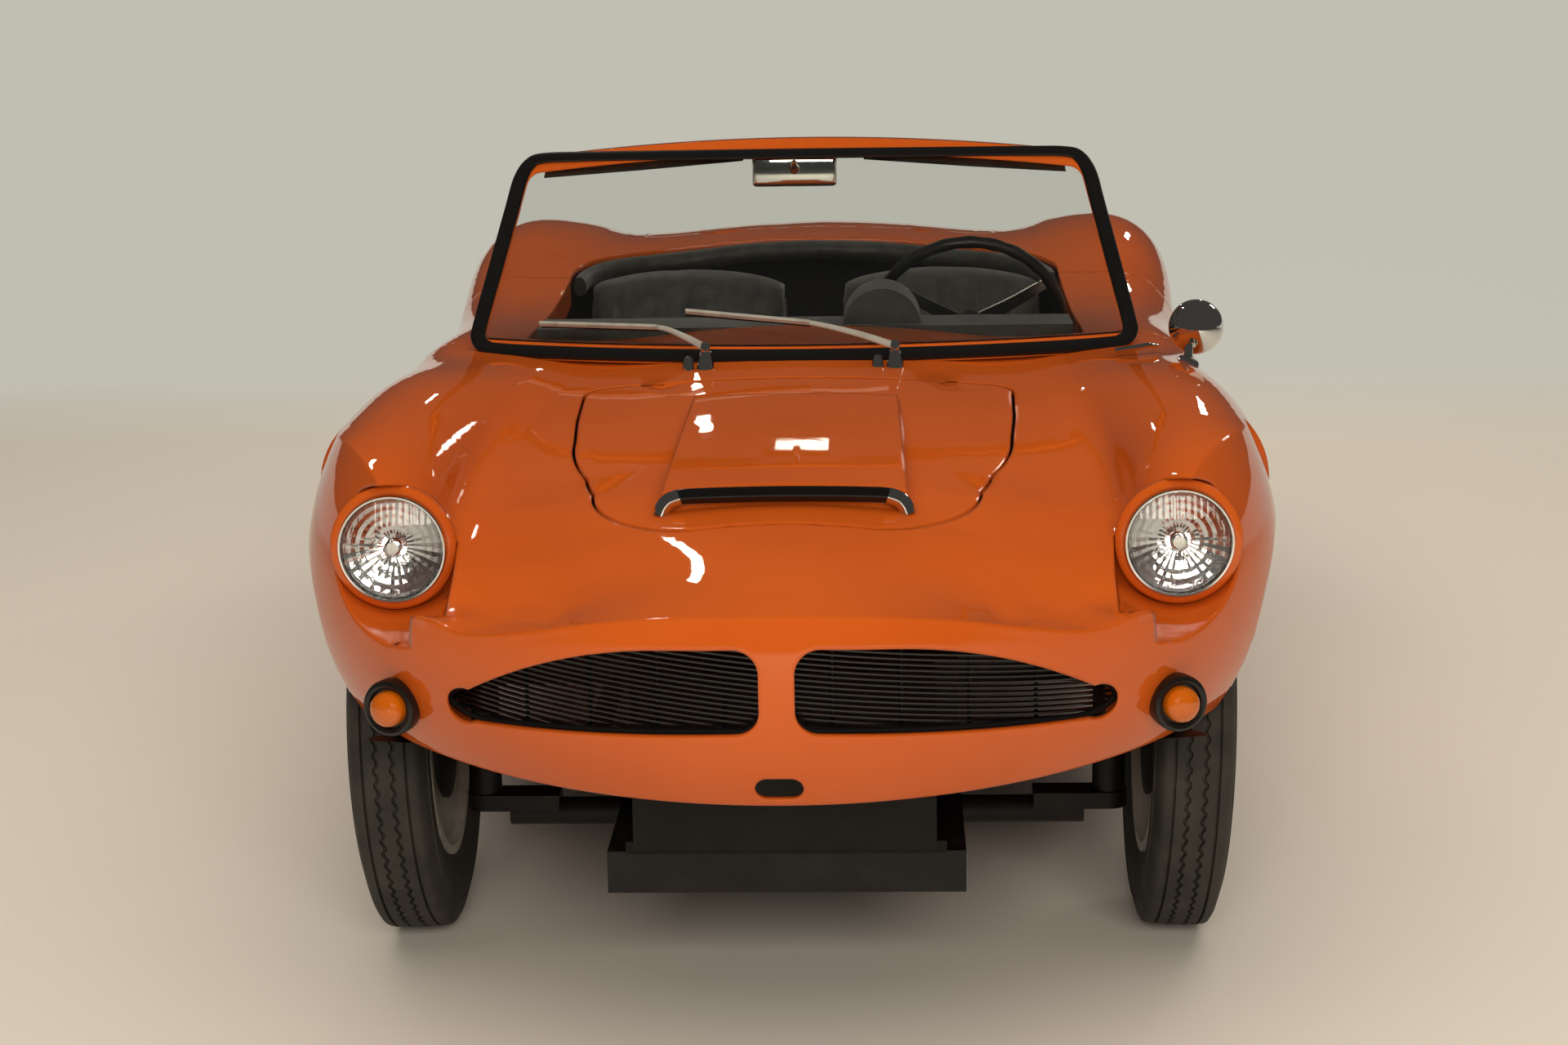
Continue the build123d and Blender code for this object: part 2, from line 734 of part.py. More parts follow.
with BuildPart() as windscreen_glass:
    add(screen_slab(glass_setback, glass_wall))
    add(screen_prism(screen_frame_width), mode=Mode.INTERSECT)
    add(outer, mode=Mode.SUBTRACT)
finish(windscreen_glass.part, "windscreen_glass")

# Grille mesh behind the nose openings, on upright ribs
nose_centre_y = nose_y + nose_radius
grille_radius = nose_radius - grille_setback
grille_low_z = nostril_bottom_z - 26.0
grille_high_z = nostril_top_z + 14.0
grille_half_angle = degrees(asin((nostril_tip_x + 12.0) / grille_radius))


def nose_band(low_z, high_z, wall, half_angle):
    """A thin upright band that follows the nose behind its openings."""
    with BuildPart() as band:
        with BuildSketch(Plane.XY.offset(low_z)):
            with Locations((0, nose_centre_y)):
                Circle(grille_radius)
                Circle(grille_radius - wall, mode=Mode.SUBTRACT)
        extrude(amount=high_z - low_z)
        reach = grille_radius * sin(radians(half_angle))
        add(slab((-reach, reach), (nose_y, nose_centre_y - form_clear), (0, sky_z)), mode=Mode.INTERSECT)
    return band.part


with BuildPart() as grille_mesh:
    slat_pitch = (grille_high_z - grille_low_z - slat_height) / (slat_count - 1)
    for index in range(slat_count):
        low_z = grille_low_z + index * slat_pitch
        add(nose_band(low_z, low_z + slat_height, 3 * grille_wall, grille_half_angle))
    for turn in (-1.0, -0.55, -0.12, 0.12, 0.55, 1.0):
        angle = radians(turn * (grille_half_angle - 0.5))
        mid_radius = grille_radius - 1.5 * grille_wall
        rib_plane = Plane(origin=(mid_radius * sin(angle), nose_centre_y - mid_radius * cos(angle),
                                  (grille_low_z + grille_high_z) / 2), x_dir=(cos(angle), sin(angle), 0))
        with Locations(rib_plane.location):
            Box(grille_wall, 3 * grille_wall, grille_high_z - grille_low_z)
    for side in (1, -1):
        add(lamp_cone(side, recess_wall + soft_gap), mode=Mode.SUBTRACT)
finish(grille_mesh.part, "grille_mesh")

# Lamps
with BuildPart() as headlamp_bowls:
    for side in (1, -1):
        with BuildSketch(Plane.XZ.offset(-recess_back_y)):
            with Locations((side * lamp_x, lamp_z)):
                Circle(lamp_radius)
        extrude(amount=recess_back_y - lamp_face_y)
        with BuildSketch(Plane.XZ.offset(-lamp_face_y)):
            with Locations((side * lamp_x, lamp_z)):
                Circle(lamp_lens_radius - 4.0)
        extrude(amount=-(recess_back_y - lamp_face_y - bowl_wall), mode=Mode.SUBTRACT)
finish(headlamp_bowls.part, "headlamp_bowls")

with BuildPart() as headlamp_lenses:
    for side in (1, -1):
        crown_radius = (lamp_lens_radius ** 2 + lamp_crown ** 2) / (2 * lamp_crown)
        with BuildSketch(Plane.YZ.offset(side * lamp_x)):
            with BuildLine():
                face_y = lamp_face_y
                Line((face_y, lamp_z), (face_y, lamp_z + lamp_lens_radius))
                ThreePointArc((face_y, lamp_z + lamp_lens_radius),
                              (face_y - lamp_crown + crown_radius - sqrt(crown_radius ** 2
                               - (lamp_lens_radius / 2) ** 2), lamp_z + lamp_lens_radius / 2),
                              (face_y - lamp_crown, lamp_z))
                Line((face_y - lamp_crown, lamp_z), (face_y, lamp_z))
            make_face()
        revolve(axis=Axis((side * lamp_x, 0, lamp_z), (0, 1, 0)))
finish(headlamp_lenses.part, "headlamp_lenses")


def end_plane(direction, end_y, radius, x, z, sink):
    """A plane on a round end of the body at x, facing outwards, sunk in by sink."""
    centre_y = end_y - direction * radius
    across = asin(x / radius)
    out = (sin(across), direction * cos(across), 0)
    reach = radius - sink
    return Plane(origin=(out[0] * reach, centre_y + out[1] * reach, z), x_dir=(0, 0, 1), z_dir=out)


with BuildPart() as front_indicators:
    for side in (1, -1):
        with BuildSketch(end_plane(-1, nose_y, nose_radius, side * indicator_x, indicator_z, 36.0)):
            Circle(indicator_radius)
        extrude(amount=indicator_depth + 12.0)
        add(outer, mode=Mode.SUBTRACT)
        with BuildSketch(end_plane(-1, nose_y, nose_radius, side * indicator_x, indicator_z, -6.0)):
            Circle(indicator_lens_radius)
        extrude(amount=14.0, taper=20.0)
finish(front_indicators.part, "front_indicators")

with BuildPart() as tail_lamps:
    for side in (1, -1):
        for x, z, radius in TAIL_LAMPS:
            with BuildSketch(end_plane(1, tail_y, tail_radius, side * x, z, 6.0)):
                Circle(radius)
            extrude(amount=tail_lamp_depth, taper=14.0)
    add(outer, mode=Mode.SUBTRACT)
finish(tail_lamps.part, "tail_lamps")

# Platform chassis, bulkheads and engine
floor_z = sill_bottom_z
with BuildPart() as platform_chassis:
    add(slab((-sill_inner_x, sill_inner_x), (firewall_y, bulkhead_y + 60.0), (floor_z, floor_z + floor_wall)))
    for side in (1, -1):
        x_from, x_to = sorted((side * (rail_x - rail_width / 2), side * (rail_x + rail_width / 2)))
        add(slab((x_from, x_to), (rail_front_y, rail_rear_y), (floor_z - rail_height, floor_z)))
        with Locations((side * rail_x, 0, floor_z - rail_height - jack_pad_height / 2)):
            Box(jack_pad_width, jack_pad_length, jack_pad_height)
    for y in (rail_front_y + 25.0, firewall_y + 30.0, bulkhead_y + 20.0, rail_rear_y - 25.0):
        add(slab((-rail_x, rail_x), (y - 25.0, y + 25.0), (floor_z - rail_height, floor_z)))
finish(platform_chassis.part, "platform_chassis")
finish(slab((-tunnel_half_width, tunnel_half_width), (firewall_y, bulkhead_y),
            (floor_z + floor_wall, floor_z + tunnel_height)), "tunnel")

with BuildPart() as firewall:
    add(core)
    add(slab((-side_limit, side_limit), (firewall_y - firewall_wall, firewall_y), (floor_z, sky_z)),
        mode=Mode.INTERSECT)
    for cut in arch_cuts:
        add(cut, mode=Mode.SUBTRACT)
finish(firewall.part, "firewall")

with BuildPart() as rear_bulkhead:
    add(core)
    add(slab((-side_limit, side_limit), (bulkhead_y, bulkhead_y + bulkhead_wall),
             (floor_z + floor_wall, sky_z)), mode=Mode.INTERSECT)
finish(rear_bulkhead.part, "rear_bulkhead")

with BuildPart() as boot_floor:
    add(core)
    add(slab((-side_limit, side_limit), (bulkhead_y + bulkhead_wall, tail_y), (boot_floor_z, boot_floor_z + 8.0)),
        mode=Mode.INTERSECT)
    for side in (1, -1):
        x_from, x_to = sorted((side * (arch_inner_x - liner_wall), side * side_limit))
        add(cross_drum(rear_axle_y, rear_hub_z, arch_radius + liner_wall, x_from, x_to), mode=Mode.SUBTRACT)
finish(boot_floor.part, "boot_floor")

with BuildPart() as engine_block:
    with Locations((0, -1560.0, 410.0)):
        Box(430.0, 380.0, 260.0)
    with Locations((0, -1130.0, 370.0)):
        Box(230.0, 480.0, 200.0)
    for y in (-1690.0, -960.0):
        with Locations((0, y, floor_z + 9.0)):
            Box(2 * rail_x, 40.0, 18.0)
finish(engine_block.part, "engine_block")

# Front axle: beam, lower and upper arms, turrets and kingpins
with BuildPart() as front_axle:
    add(cross_drum(front_axle_y, beam_z, beam_radius, -kingpin_x + 40.0, kingpin_x - 40.0))
    low_arm_z = upright_low_z - axial_gap - arm_height / 2
    high_arm_z = upright_high_z + axial_gap + arm_height / 2
    for side in (1, -1):
        with Locations((side * (kingpin_x - 60.0), front_axle_y, low_arm_z)):
            Box(120.0, arm_width, arm_height)
        with BuildSketch(Plane.XY.offset(low_arm_z - arm_height / 2)):
            with Locations((side * kingpin_x, front_axle_y)):
                Circle(arm_width / 2)
        extrude(amount=arm_height)
        with Locations((side * (kingpin_x + rail_x) / 2, front_axle_y, high_arm_z)):
            Box(kingpin_x - rail_x, arm_width, arm_height)
        with BuildSketch(Plane.XY.offset(high_arm_z - arm_height / 2)):
            with Locations((side * kingpin_x, front_axle_y)):
                Circle(arm_width / 2)
        extrude(amount=arm_height)
        with Locations((side * rail_x, front_axle_y, (floor_z + high_arm_z + arm_height / 2) / 2)):
            Box(rail_width, 2 * rail_width, high_arm_z + arm_height / 2 - floor_z)
        with BuildSketch(Plane.XY.offset(low_arm_z)):
            with Locations((side * kingpin_x, front_axle_y)):
                Circle(kingpin_radius)
        extrude(amount=high_arm_z - low_arm_z)
finish(front_axle.part, "front_axle")


def wheel_plane(side, hub, lean_deg):
    """A plane through a wheel's centre whose normal is the outward axle line."""
    lean = radians(lean_deg)
    return Plane(origin=hub, x_dir=(0, side, 0), z_dir=(side * cos(lean), 0, -sin(lean)))


# Knuckles
def stub_axle(plane, inner, outer_end):
    """A stub axle and the brake backplate behind the wheel, along the axle line."""
    with BuildPart() as stub:
        with BuildSketch(plane.offset(inner)):
            Circle(stub_radius)
        extrude(amount=outer_end - inner)
        with BuildSketch(plane.offset(-rim_width / 2 - backplate_wall + 12.0)):
            Circle(backplate_radius)
        extrude(amount=backplate_wall)
        with BuildSketch(plane.offset(-rim_width / 2 + 12.0)):
            Circle(stub_radius + 13.0)
        extrude(amount=14.0)
    return stub.part


hub_outer = wheel_dish + 10.0
for side, name in ((1, "left"), (-1, "right")):
    plane = wheel_plane(side, (side * hub_x, front_axle_y, front_hub_z), camber_deg)
    with BuildPart() as knuckle:
        with BuildSketch(Plane.XY.offset(upright_low_z)):
            with Locations((side * kingpin_x, front_axle_y)):
                Circle(upright_radius)
        extrude(amount=upright_high_z - upright_low_z)
        add(stub_axle(plane, -(hub_x - kingpin_x), hub_outer))
        with Locations((side * (kingpin_x - 8.0), front_axle_y + 62.0, upright_low_z + 34.0)):
            Box(26.0, 120.0, 18.0)
        with BuildSketch(Plane.XY.offset(upright_low_z - 10.0)):
            with Locations((side * kingpin_x, front_axle_y)):
                Circle(kingpin_radius + running_fit)
        extrude(amount=upright_high_z - upright_low_z + 20.0, mode=Mode.SUBTRACT)
    finish(knuckle.part, f"knuckle_{name}")

# Rear axle: cross tube, trailing arms and stub axles
with BuildPart() as rear_axle:
    add(cross_drum(rear_tube_y, rear_hub_z, 30.0, -rail_x - 190.0, rail_x + 190.0))
    for side in (1, -1):
        with Locations((side * 438.0, (rear_tube_y + rear_axle_y) / 2, rear_hub_z)):
            Box(36.0, rear_axle_y - rear_tube_y + 80.0, 62.0)
        plane = wheel_plane(side, (side * rear_hub_x, rear_axle_y, rear_hub_z), 0.0)
        add(stub_axle(plane, -(rear_hub_x - 450.0), hub_outer))
        with Locations((side * rail_x, rear_tube_y, (floor_z + rear_hub_z) / 2)):
            Box(rail_width, 60.0, rear_hub_z - floor_z)
finish(rear_axle.part, "rear_axle")


# Wheels
def tyre_profile():
    """The tyre's section as radius and distance along the axle: flat sides that lean in to the tread."""
    bore = rim_radius - rim_wall + 2.0
    bead, tread = rim_width / 2 - rim_wall, tread_width / 2
    Polyline((bore, -bead), (tyre_radius, -tread), (tyre_radius, tread), (bore, bead), close=True)


def rim_profile():
    """The rim's barrel, its dished disc, the hub and the domed cap, radius then outward distance."""
    half = rim_width / 2
    barrel = rim_radius - 4.3
    points = [
        (stub_radius + running_fit, wheel_dish + 6.0), (stub_radius + running_fit, -rim_width / 2 + 28.0),
        (hub_radius, -rim_width / 2 + 28.0), (hub_radius, wheel_dish - 8.0), (hubcap_radius, wheel_dish + 4.0),
        (barrel - 26.0, wheel_dish - 10.0), (barrel - rim_wall, wheel_dish - 10.0), (barrel - rim_wall, -half + 14.0),
        (barrel - rim_wall + 4.0, -half), (rim_radius + 8.0, -half), (rim_radius + 8.0, -half + 4.0),
        (barrel, -half + 5.0), (barrel, half - 5.0), (rim_radius + 8.0, half - 4.0), (rim_radius + 8.0, half),
        (barrel - rim_wall + 3.0, half), (barrel - rim_wall - 2.0, wheel_dish + 2.0), (barrel - 26.0, wheel_dish - 2.0),
        (hubcap_radius, wheel_dish + 12.0),
    ]
    for start, end in zip(points, points[1:]):
        Line(start, end)
    cap_edge = (hubcap_radius - 4.0, wheel_dish + 22.0)
    cap_top = (0.0, wheel_dish + 46.0)
    cap_rise = cap_top[1] - cap_edge[1]
    cap_sphere = (cap_edge[0] ** 2 + cap_rise ** 2) / (2 * cap_rise)
    cap_middle = (cap_edge[0] / 2, cap_top[1] - cap_sphere + sqrt(cap_sphere ** 2 - cap_edge[0] ** 2 / 4))
    Line(points[-1], cap_edge)
    ThreePointArc(cap_edge, cap_middle, cap_top)
    Line(cap_top, (0.0, wheel_dish + 36.0))
    Line((0.0, wheel_dish + 36.0), (stub_radius + 14.0, wheel_dish + 30.0))
    Line((stub_radius + 14.0, wheel_dish + 30.0), (stub_radius + 14.0, wheel_dish + 14.0))
    Line((stub_radius + 14.0, wheel_dish + 14.0), points[0])


with BuildPart() as tyre_form:
    with BuildSketch(Plane.XZ):
        with BuildLine():
            tyre_profile()
        make_face()
    revolve(axis=Axis.Z)

with BuildPart() as rim_form:
    with BuildSketch(Plane.XZ):
        with BuildLine():
            rim_profile()
        make_face()
    revolve(axis=Axis.Z)

CORNERS = [
    ("front_left", 1, hub_x, front_axle_y, front_hub_z, camber_deg),
    ("front_right", -1, hub_x, front_axle_y, front_hub_z, camber_deg),
    ("rear_left", 1, rear_hub_x, rear_axle_y, rear_hub_z, 0.0),
    ("rear_right", -1, rear_hub_x, rear_axle_y, rear_hub_z, 0.0),
]
for name, side, x, y, z, lean in CORNERS:
    place = wheel_plane(side, (side * x, y, z), lean).location
    finish(tyre_form.part.moved(place), f"tyre_{name}")
    finish(rim_form.part.moved(place), f"rim_{name}")

# Dashboard with its cowl
with BuildPart() as dashboard:
    with BuildSketch(Plane.YZ.offset(-dash_half_width)):
        with Locations(((dash_front_y + dash_rear_y) / 2, (dash_bottom_z + dash_top_z) / 2)):
            RectangleRounded(dash_rear_y - dash_front_y, dash_top_z - dash_bottom_z, dash_round)
    extrude(amount=2 * dash_half_width)
    with BuildSketch(Plane.XZ.offset(-(dash_rear_y - 14.0))):
        with Locations((cowl_x, cowl_top_z - cowl_radius)):
            Circle(cowl_radius)
    extrude(amount=cowl_length)
    add(slab((-side_limit, side_limit), (-2000.0, body_front_end_y), (0, sky_z)), mode=Mode.SUBTRACT)
finish(dashboard.part, "dashboard")

# Steering wheel and column
column = radians(column_deg)
column_axis = (0.0, cos(column), sin(column))
wheel_centre = (wheel_x, wheel_y, wheel_z)
wheel_face = Plane(origin=wheel_centre, x_dir=(1, 0, 0), z_dir=column_axis)
hub_depth = 46.0
with BuildPart() as steering_wheel:
    with BuildSketch(Plane(origin=wheel_centre, x_dir=(1, 0, 0), z_dir=wheel_face.y_dir)):
        with Locations((wheel_radius, 0)):
            Circle(wheel_rim_radius)
    revolve(axis=Axis(wheel_centre, column_axis))
    with BuildSketch(wheel_face.offset(-hub_depth)):
        Circle(34.0)
    extrude(amount=hub_depth - 10.0)
    for spoke_deg in (90.0, 210.0, 330.0):
        turn = radians(spoke_deg)
        spoke = Plane(origin=wheel_face.from_local_coords((wheel_radius / 2 * cos(turn), wheel_radius / 2 * sin(turn), -14.0)),
                      x_dir=wheel_face.from_local_coords(Vector(cos(turn), sin(turn), 0)) - Vector(wheel_centre),
                      z_dir=column_axis)
        with Locations(spoke.location):
            Box(wheel_radius - 4.0, 24.0, 6.0)
finish(steering_wheel.part, "steering_wheel")

with BuildPart() as steering_column:
    with BuildSketch(wheel_face.offset(-hub_depth - axial_gap)):
        Circle(column_radius)
    extrude(amount=-260.0)
    add(dashboard.part, mode=Mode.SUBTRACT)
finish(steering_column.part, "steering_column")

# Seats: cushion and back in one soft form
SEAT_SIDE = [
    (-120.0, floor_z + floor_wall + soft_gap), (-130.0, 430.0), (-90.0, 462.0), (270.0, 430.0),
    (370.0, 790.0), (400.0, 850.0), (460.0, 846.0), (490.0, 800.0), (410.0, floor_z + floor_wall + soft_gap),
]
for side, name in ((1, "left"), (-1, "right")):
    with BuildPart() as seat:
        with BuildSketch(Plane.YZ.offset(side * seat_x - seat_width / 2)):
            with BuildLine():
                Polyline(*SEAT_SIDE, close=True)
            make_face()
            fillet(vertices(), seat_round)
        extrude(amount=seat_width)
    finish(seat.part, f"seat_{name}")

# Wipers, mirrors, visors, gear lever, exhaust
def bar(start, end, width, height):
    """A straight bar of rectangular section from start to end."""
    start, end = Vector(start), Vector(end)
    along = end - start
    plane = Plane(origin=(start + end) / 2, x_dir=along, z_dir=Vector(0, 0, 1) - along * (along.Z / along.length ** 2))
    with BuildPart() as piece:
        with Locations(plane.location):
            Box(along.length, width, height)
    return piece.part


def screen_point(x, z, front):
    """A point in front of the windscreen's face."""
    share = (z - screen_low_z) / (screen_high_z - screen_low_z)
    radius = screen_low_radius + (screen_high_radius - screen_low_radius) * share
    rake = (screen_high_y - screen_low_y) / (screen_high_z - screen_low_z)
    y = screen_low_y + (z - screen_low_z) * rake + radius - sqrt(radius ** 2 - x ** 2)
    return (x, y - front, z)


WIPERS = [
    (-165.0, -690.0, -250.0, 868.0, -470.0, 868.0),
    (165.0, -690.0, 20.0, 875.0, -205.0, 893.0),
]
with BuildPart() as wipers:
    for pivot_x, pivot_y, arm_x, arm_z, tip_x, tip_z in WIPERS:
        with BuildSketch(Plane.XY.offset(790.0)):
            with Locations((pivot_x, pivot_y)):
                Circle(12.0)
        extrude(amount=60.0)
        elbow = screen_point(arm_x, arm_z, 26.0)
        add(bar((pivot_x, pivot_y, 846.0), elbow, 8.0, 6.0))
        add(bar(elbow, screen_point(tip_x, tip_z, 26.0), 6.0, 14.0))
    add(core, mode=Mode.SUBTRACT)
    add(outer, mode=Mode.SUBTRACT)
finish(wipers.part, "wipers")

with BuildPart() as interior_mirror:
    with BuildSketch(Plane.XZ.offset(262.0)):
        with Locations((-18.0, 1112.0)):
            RectangleRounded(160.0, 58.0, 26.0)
    extrude(amount=18.0)
    with BuildSketch(Plane.XY.offset(1112.0)):
        with Locations((-18.0, -292.0)):
            Circle(6.0)
    extrude(amount=42.0)
    add(bar((-18.0, -292.0, 1118.0), (-18.0, -268.0, 1112.0), 12.0, 12.0))
    add(windscreen_frame.part, mode=Mode.SUBTRACT)
finish(interior_mirror.part, "interior_mirror")

with BuildPart() as wing_mirror:
    with BuildSketch(Plane.XZ.offset(650.0 - 25.0)):
        with Locations((691.0, 864.0)):
            Circle(48.0)
    extrude(amount=50.0, taper=18.0)
    add(bar((672.0, -700.0, 780.0), (688.0, -655.0, 850.0), 12.0, 12.0))
    add(outer, mode=Mode.SUBTRACT)
finish(wing_mirror.part, "wing_mirror")

with BuildPart() as sun_visors:
    with BuildPart(mode=Mode.PRIVATE) as visor_outline:
        with BuildSketch(Plane.XZ):
            with BuildLine():
                Polyline((110.0, 1142.0), (478.0, 1122.0), (470.0, 1070.0), (290.0, 1092.0), (120.0, 1118.0),
                         close=True)
            make_face()
            mirror(about=Plane.YZ)
        extrude(amount=900.0)
    add(screen_slab(screen_frame_wall + 1.0, visor_thickness))
    add(visor_outline.part, mode=Mode.INTERSECT)
finish(sun_visors.part, "sun_visors")

with BuildPart() as gear_lever:
    with BuildSketch(Plane.XY.offset(floor_z + tunnel_height)):
        with Locations((0, -120.0)):
            Circle(34.0)
    extrude(amount=30.0, taper=20.0)
    with BuildSketch(Plane.XY.offset(floor_z + tunnel_height)):
        with Locations((0, -120.0)):
            Circle(7.0)
    extrude(amount=190.0)
    with Locations((0, -120.0, floor_z + tunnel_height + 205.0)):
        Sphere(23.0)
finish(gear_lever.part, "gear_lever")

exhaust_x = -345.0
exhaust_z = 232.0
muffler_front_y = 860.0
muffler_rear_y = 1280.0
exhaust_end_y = tail_y - 30.0
with BuildPart() as exhaust:
    with BuildLine() as exhaust_line:
        FilletPolyline((-215.0, -1500.0, 330.0), (exhaust_x, -1440.0, 300.0), (exhaust_x, -1250.0, exhaust_z),
                       (exhaust_x, muffler_front_y, exhaust_z), radius=60.0)
    with BuildSketch(Plane(origin=exhaust_line.line @ 0, z_dir=exhaust_line.line % 0)):
        Circle(21.0)
    sweep()
    with BuildSketch(Plane.XZ.offset(-muffler_front_y)):
        with Locations((exhaust_x, exhaust_z)):
            Ellipse(78.0, 48.0)
    extrude(amount=-(muffler_rear_y - muffler_front_y))
    with BuildSketch(Plane.XZ.offset(-muffler_rear_y)):
        with Locations((exhaust_x, exhaust_z)):
            Circle(19.0)
    extrude(amount=-(exhaust_end_y - muffler_rear_y))
    add(engine_block.part, mode=Mode.SUBTRACT)
finish(exhaust.part, "exhaust")
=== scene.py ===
"""Looks of an open two-seat roadster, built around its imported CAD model. Metres, +Z up, front along -Y."""
from math import asin, cos, hypot, pi, radians, sin, sqrt

import bmesh
import bpy
from mathutils import Matrix, Vector
from mathutils.bvhtree import BVHTree


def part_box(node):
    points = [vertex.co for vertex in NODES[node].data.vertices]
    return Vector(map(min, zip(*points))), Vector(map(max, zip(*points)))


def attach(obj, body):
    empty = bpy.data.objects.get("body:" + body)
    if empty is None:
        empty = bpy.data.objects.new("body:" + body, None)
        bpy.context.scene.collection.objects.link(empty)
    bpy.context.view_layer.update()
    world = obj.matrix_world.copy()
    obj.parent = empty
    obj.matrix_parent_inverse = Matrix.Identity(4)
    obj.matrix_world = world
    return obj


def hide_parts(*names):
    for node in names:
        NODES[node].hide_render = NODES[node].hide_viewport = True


bl_info = {
    "name": "Open two-seat roadster",
    "version": (1, 0, 0),
    "blender": (4, 5, 0),
    "location": "View3D > Sidebar > Roadster",
    "description": "Finishes and fittings of an open two-seat roadster on its CAD frame",
    "category": "Object",
}

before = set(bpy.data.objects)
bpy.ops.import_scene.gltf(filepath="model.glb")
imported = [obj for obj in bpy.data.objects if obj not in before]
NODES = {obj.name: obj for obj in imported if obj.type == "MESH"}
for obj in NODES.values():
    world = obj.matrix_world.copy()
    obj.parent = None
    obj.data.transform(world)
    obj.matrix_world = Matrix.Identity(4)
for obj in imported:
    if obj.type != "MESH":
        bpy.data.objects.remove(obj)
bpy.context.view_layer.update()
MM = 0.001


# Sizes shared with the CAD source, in metres
nose_centre_y = -1.210
nose_radius = 0.757
nose_wide_z = 0.590
nose_shoulder_radius = 0.445
nose_tuck_radius = 0.3055
tail_centre_y = 1.167
tail_radius = 0.800
front_axle_y = -1.236
rear_axle_y = 1.164
front_hub = (0.603, 0.31156)
rear_hub = (0.640, 0.310)
camber = radians(2.0)
tyre_radius = 0.310
lamp_x = 0.566
lamp_z = 0.690
lamp_face_y = -1.606
wheel_centre = Vector((0.310, -0.060, 0.797))
column_tilt = radians(25.0)

# Tail lamps: x, z and radius
TAIL_LAMPS = [(0.430, 0.640, 0.044), (0.545, 0.640, 0.044)]

# Windscreen: height, place along Y and radius of its front face, near its foot and near its top
screen_low = (0.826, -0.639, 1.369)
screen_high = (1.172, -0.309, 1.690)

# Wheels: name, side of the car, hub x and z, axle y and lean
WHEELS = [
    ("front_left", 1, front_hub, front_axle_y, camber),
    ("front_right", -1, front_hub, front_axle_y, camber),
    ("rear_left", 1, rear_hub, rear_axle_y, 0.0),
    ("rear_right", -1, rear_hub, rear_axle_y, 0.0),
]

# Lines seen from above start over the car and go down
above_z = 1.200
DOWN = (0, 0, -1)
UP = (0, 0, 1)


# Mesh helpers
def skin(rings, closed_ring=True, closed_path=False, cap=True):
    """Points and faces of a skin over rings that have the same number of points."""
    count = len(rings[0])
    points = [Vector(p) for ring in rings for p in ring]
    faces = []
    spans = len(rings) if closed_path else len(rings) - 1
    steps = count if closed_ring else count - 1
    for i in range(spans):
        here = i * count
        there = (i + 1) % len(rings) * count
        for k in range(steps):
            nxt = (k + 1) % count
            faces.append((here + k, here + nxt, there + nxt, there + k))
    if cap and not closed_path and closed_ring:
        faces.append(tuple(range(count - 1, -1, -1)))
        last = (len(rings) - 1) * count
        faces.append(tuple(range(last, last + count)))
    return points, faces


def merged(*forms):
    """Several forms as one."""
    points, faces = [], []
    for more_points, more_faces in forms:
        start = len(points)
        points += more_points
        faces += [tuple(start + k for k in face) for face in more_faces]
    return points, faces


def moved(form, matrix):
    """The form placed by a matrix."""
    return [matrix @ Vector(p) for p in form[0]], form[1]


def mirrored(form):
    """The same form on the car's other side."""
    return [Vector((-p[0], p[1], p[2])) for p in form[0]], [tuple(reversed(face)) for face in form[1]]


def both_sides(form):
    """The form with its mirror image."""
    return merged(form, mirrored(form))


def at_each(places, *forms):
    """The forms together, once at each place."""
    return merged(*(moved(form, place) for place in places for form in forms))


def lathe(profile, steps=64, closed=False):
    """A form turned about Z from a profile of radius and height."""
    rings = []
    for k in range(steps):
        turn = 2 * pi * k / steps
        rings.append([(r * cos(turn), r * sin(turn), h) for r, h in profile])
    return skin(rings, closed_ring=closed, closed_path=True, cap=False)


def axis_place(origin, axis, across=(1, 0, 0)):
    """A matrix that puts Z along axis and X near across, at origin."""
    z = Vector(axis).normalized()
    x = Vector(across)
    x = (x - z * x.dot(z)).normalized()
    y = z.cross(x)
    return Matrix.Translation(Vector(origin)) @ Matrix((x, y, z)).transposed().to_4x4()


def smooth_path(points, per_span=8, closed=False):
    """A smooth line through the points."""
    points = [Vector(p) for p in points]
    count = len(points)
    path = []
    spans = count if closed else count - 1
    for i in range(spans):
        if closed:
            p0, p1, p2, p3 = (points[(i + k) % count] for k in (-1, 0, 1, 2))
        else:
            p1, p2 = points[i], points[i + 1]
            p0 = points[i - 1] if i else p1 * 2 - p2
            p3 = points[i + 2] if i + 2 < count else p2 * 2 - p1
        for k in range(per_span):
            t = k / per_span
            path.append(((p1 * 2) + (p2 - p0) * t + (p0 * 2 - p1 * 5 + p2 * 4 - p3) * t ** 2
                         + (p1 * 3 - p0 - p2 * 3 + p3) * t ** 3) / 2)
    if not closed:
        path.append(points[-1])
    return path


def directions(path, closed=False):
    """The direction of a path at each of its points."""
    count = len(path)
    found = []
    for i in range(count):
        ahead = path[(i + 1) % count] if closed or i + 1 < count else path[i]
        behind = path[i - 1] if closed or i else path[i]
        found.append((Vector(ahead) - Vector(behind)).normalized())
    return found


def sweep(path, profile, up=(0, 0, 1), closed=False, scales=None):
    """A profile of (side, up) points carried along a path. up is one direction or one for each point."""
    path = [Vector(p) for p in path]
    ups = up if isinstance(up, list) else [Vector(up)] * len(path)
    rings = []
    for i, (p, along) in enumerate(zip(path, directions(path, closed))):
        side = along.cross(Vector(ups[i])).normalized()
        top = side.cross(along).normalized()
        scale = scales[i] if scales else 1.0
        rings.append([p + side * (a * scale) + top * (b * scale) for a, b in profile])
    return skin(rings, closed_path=closed)


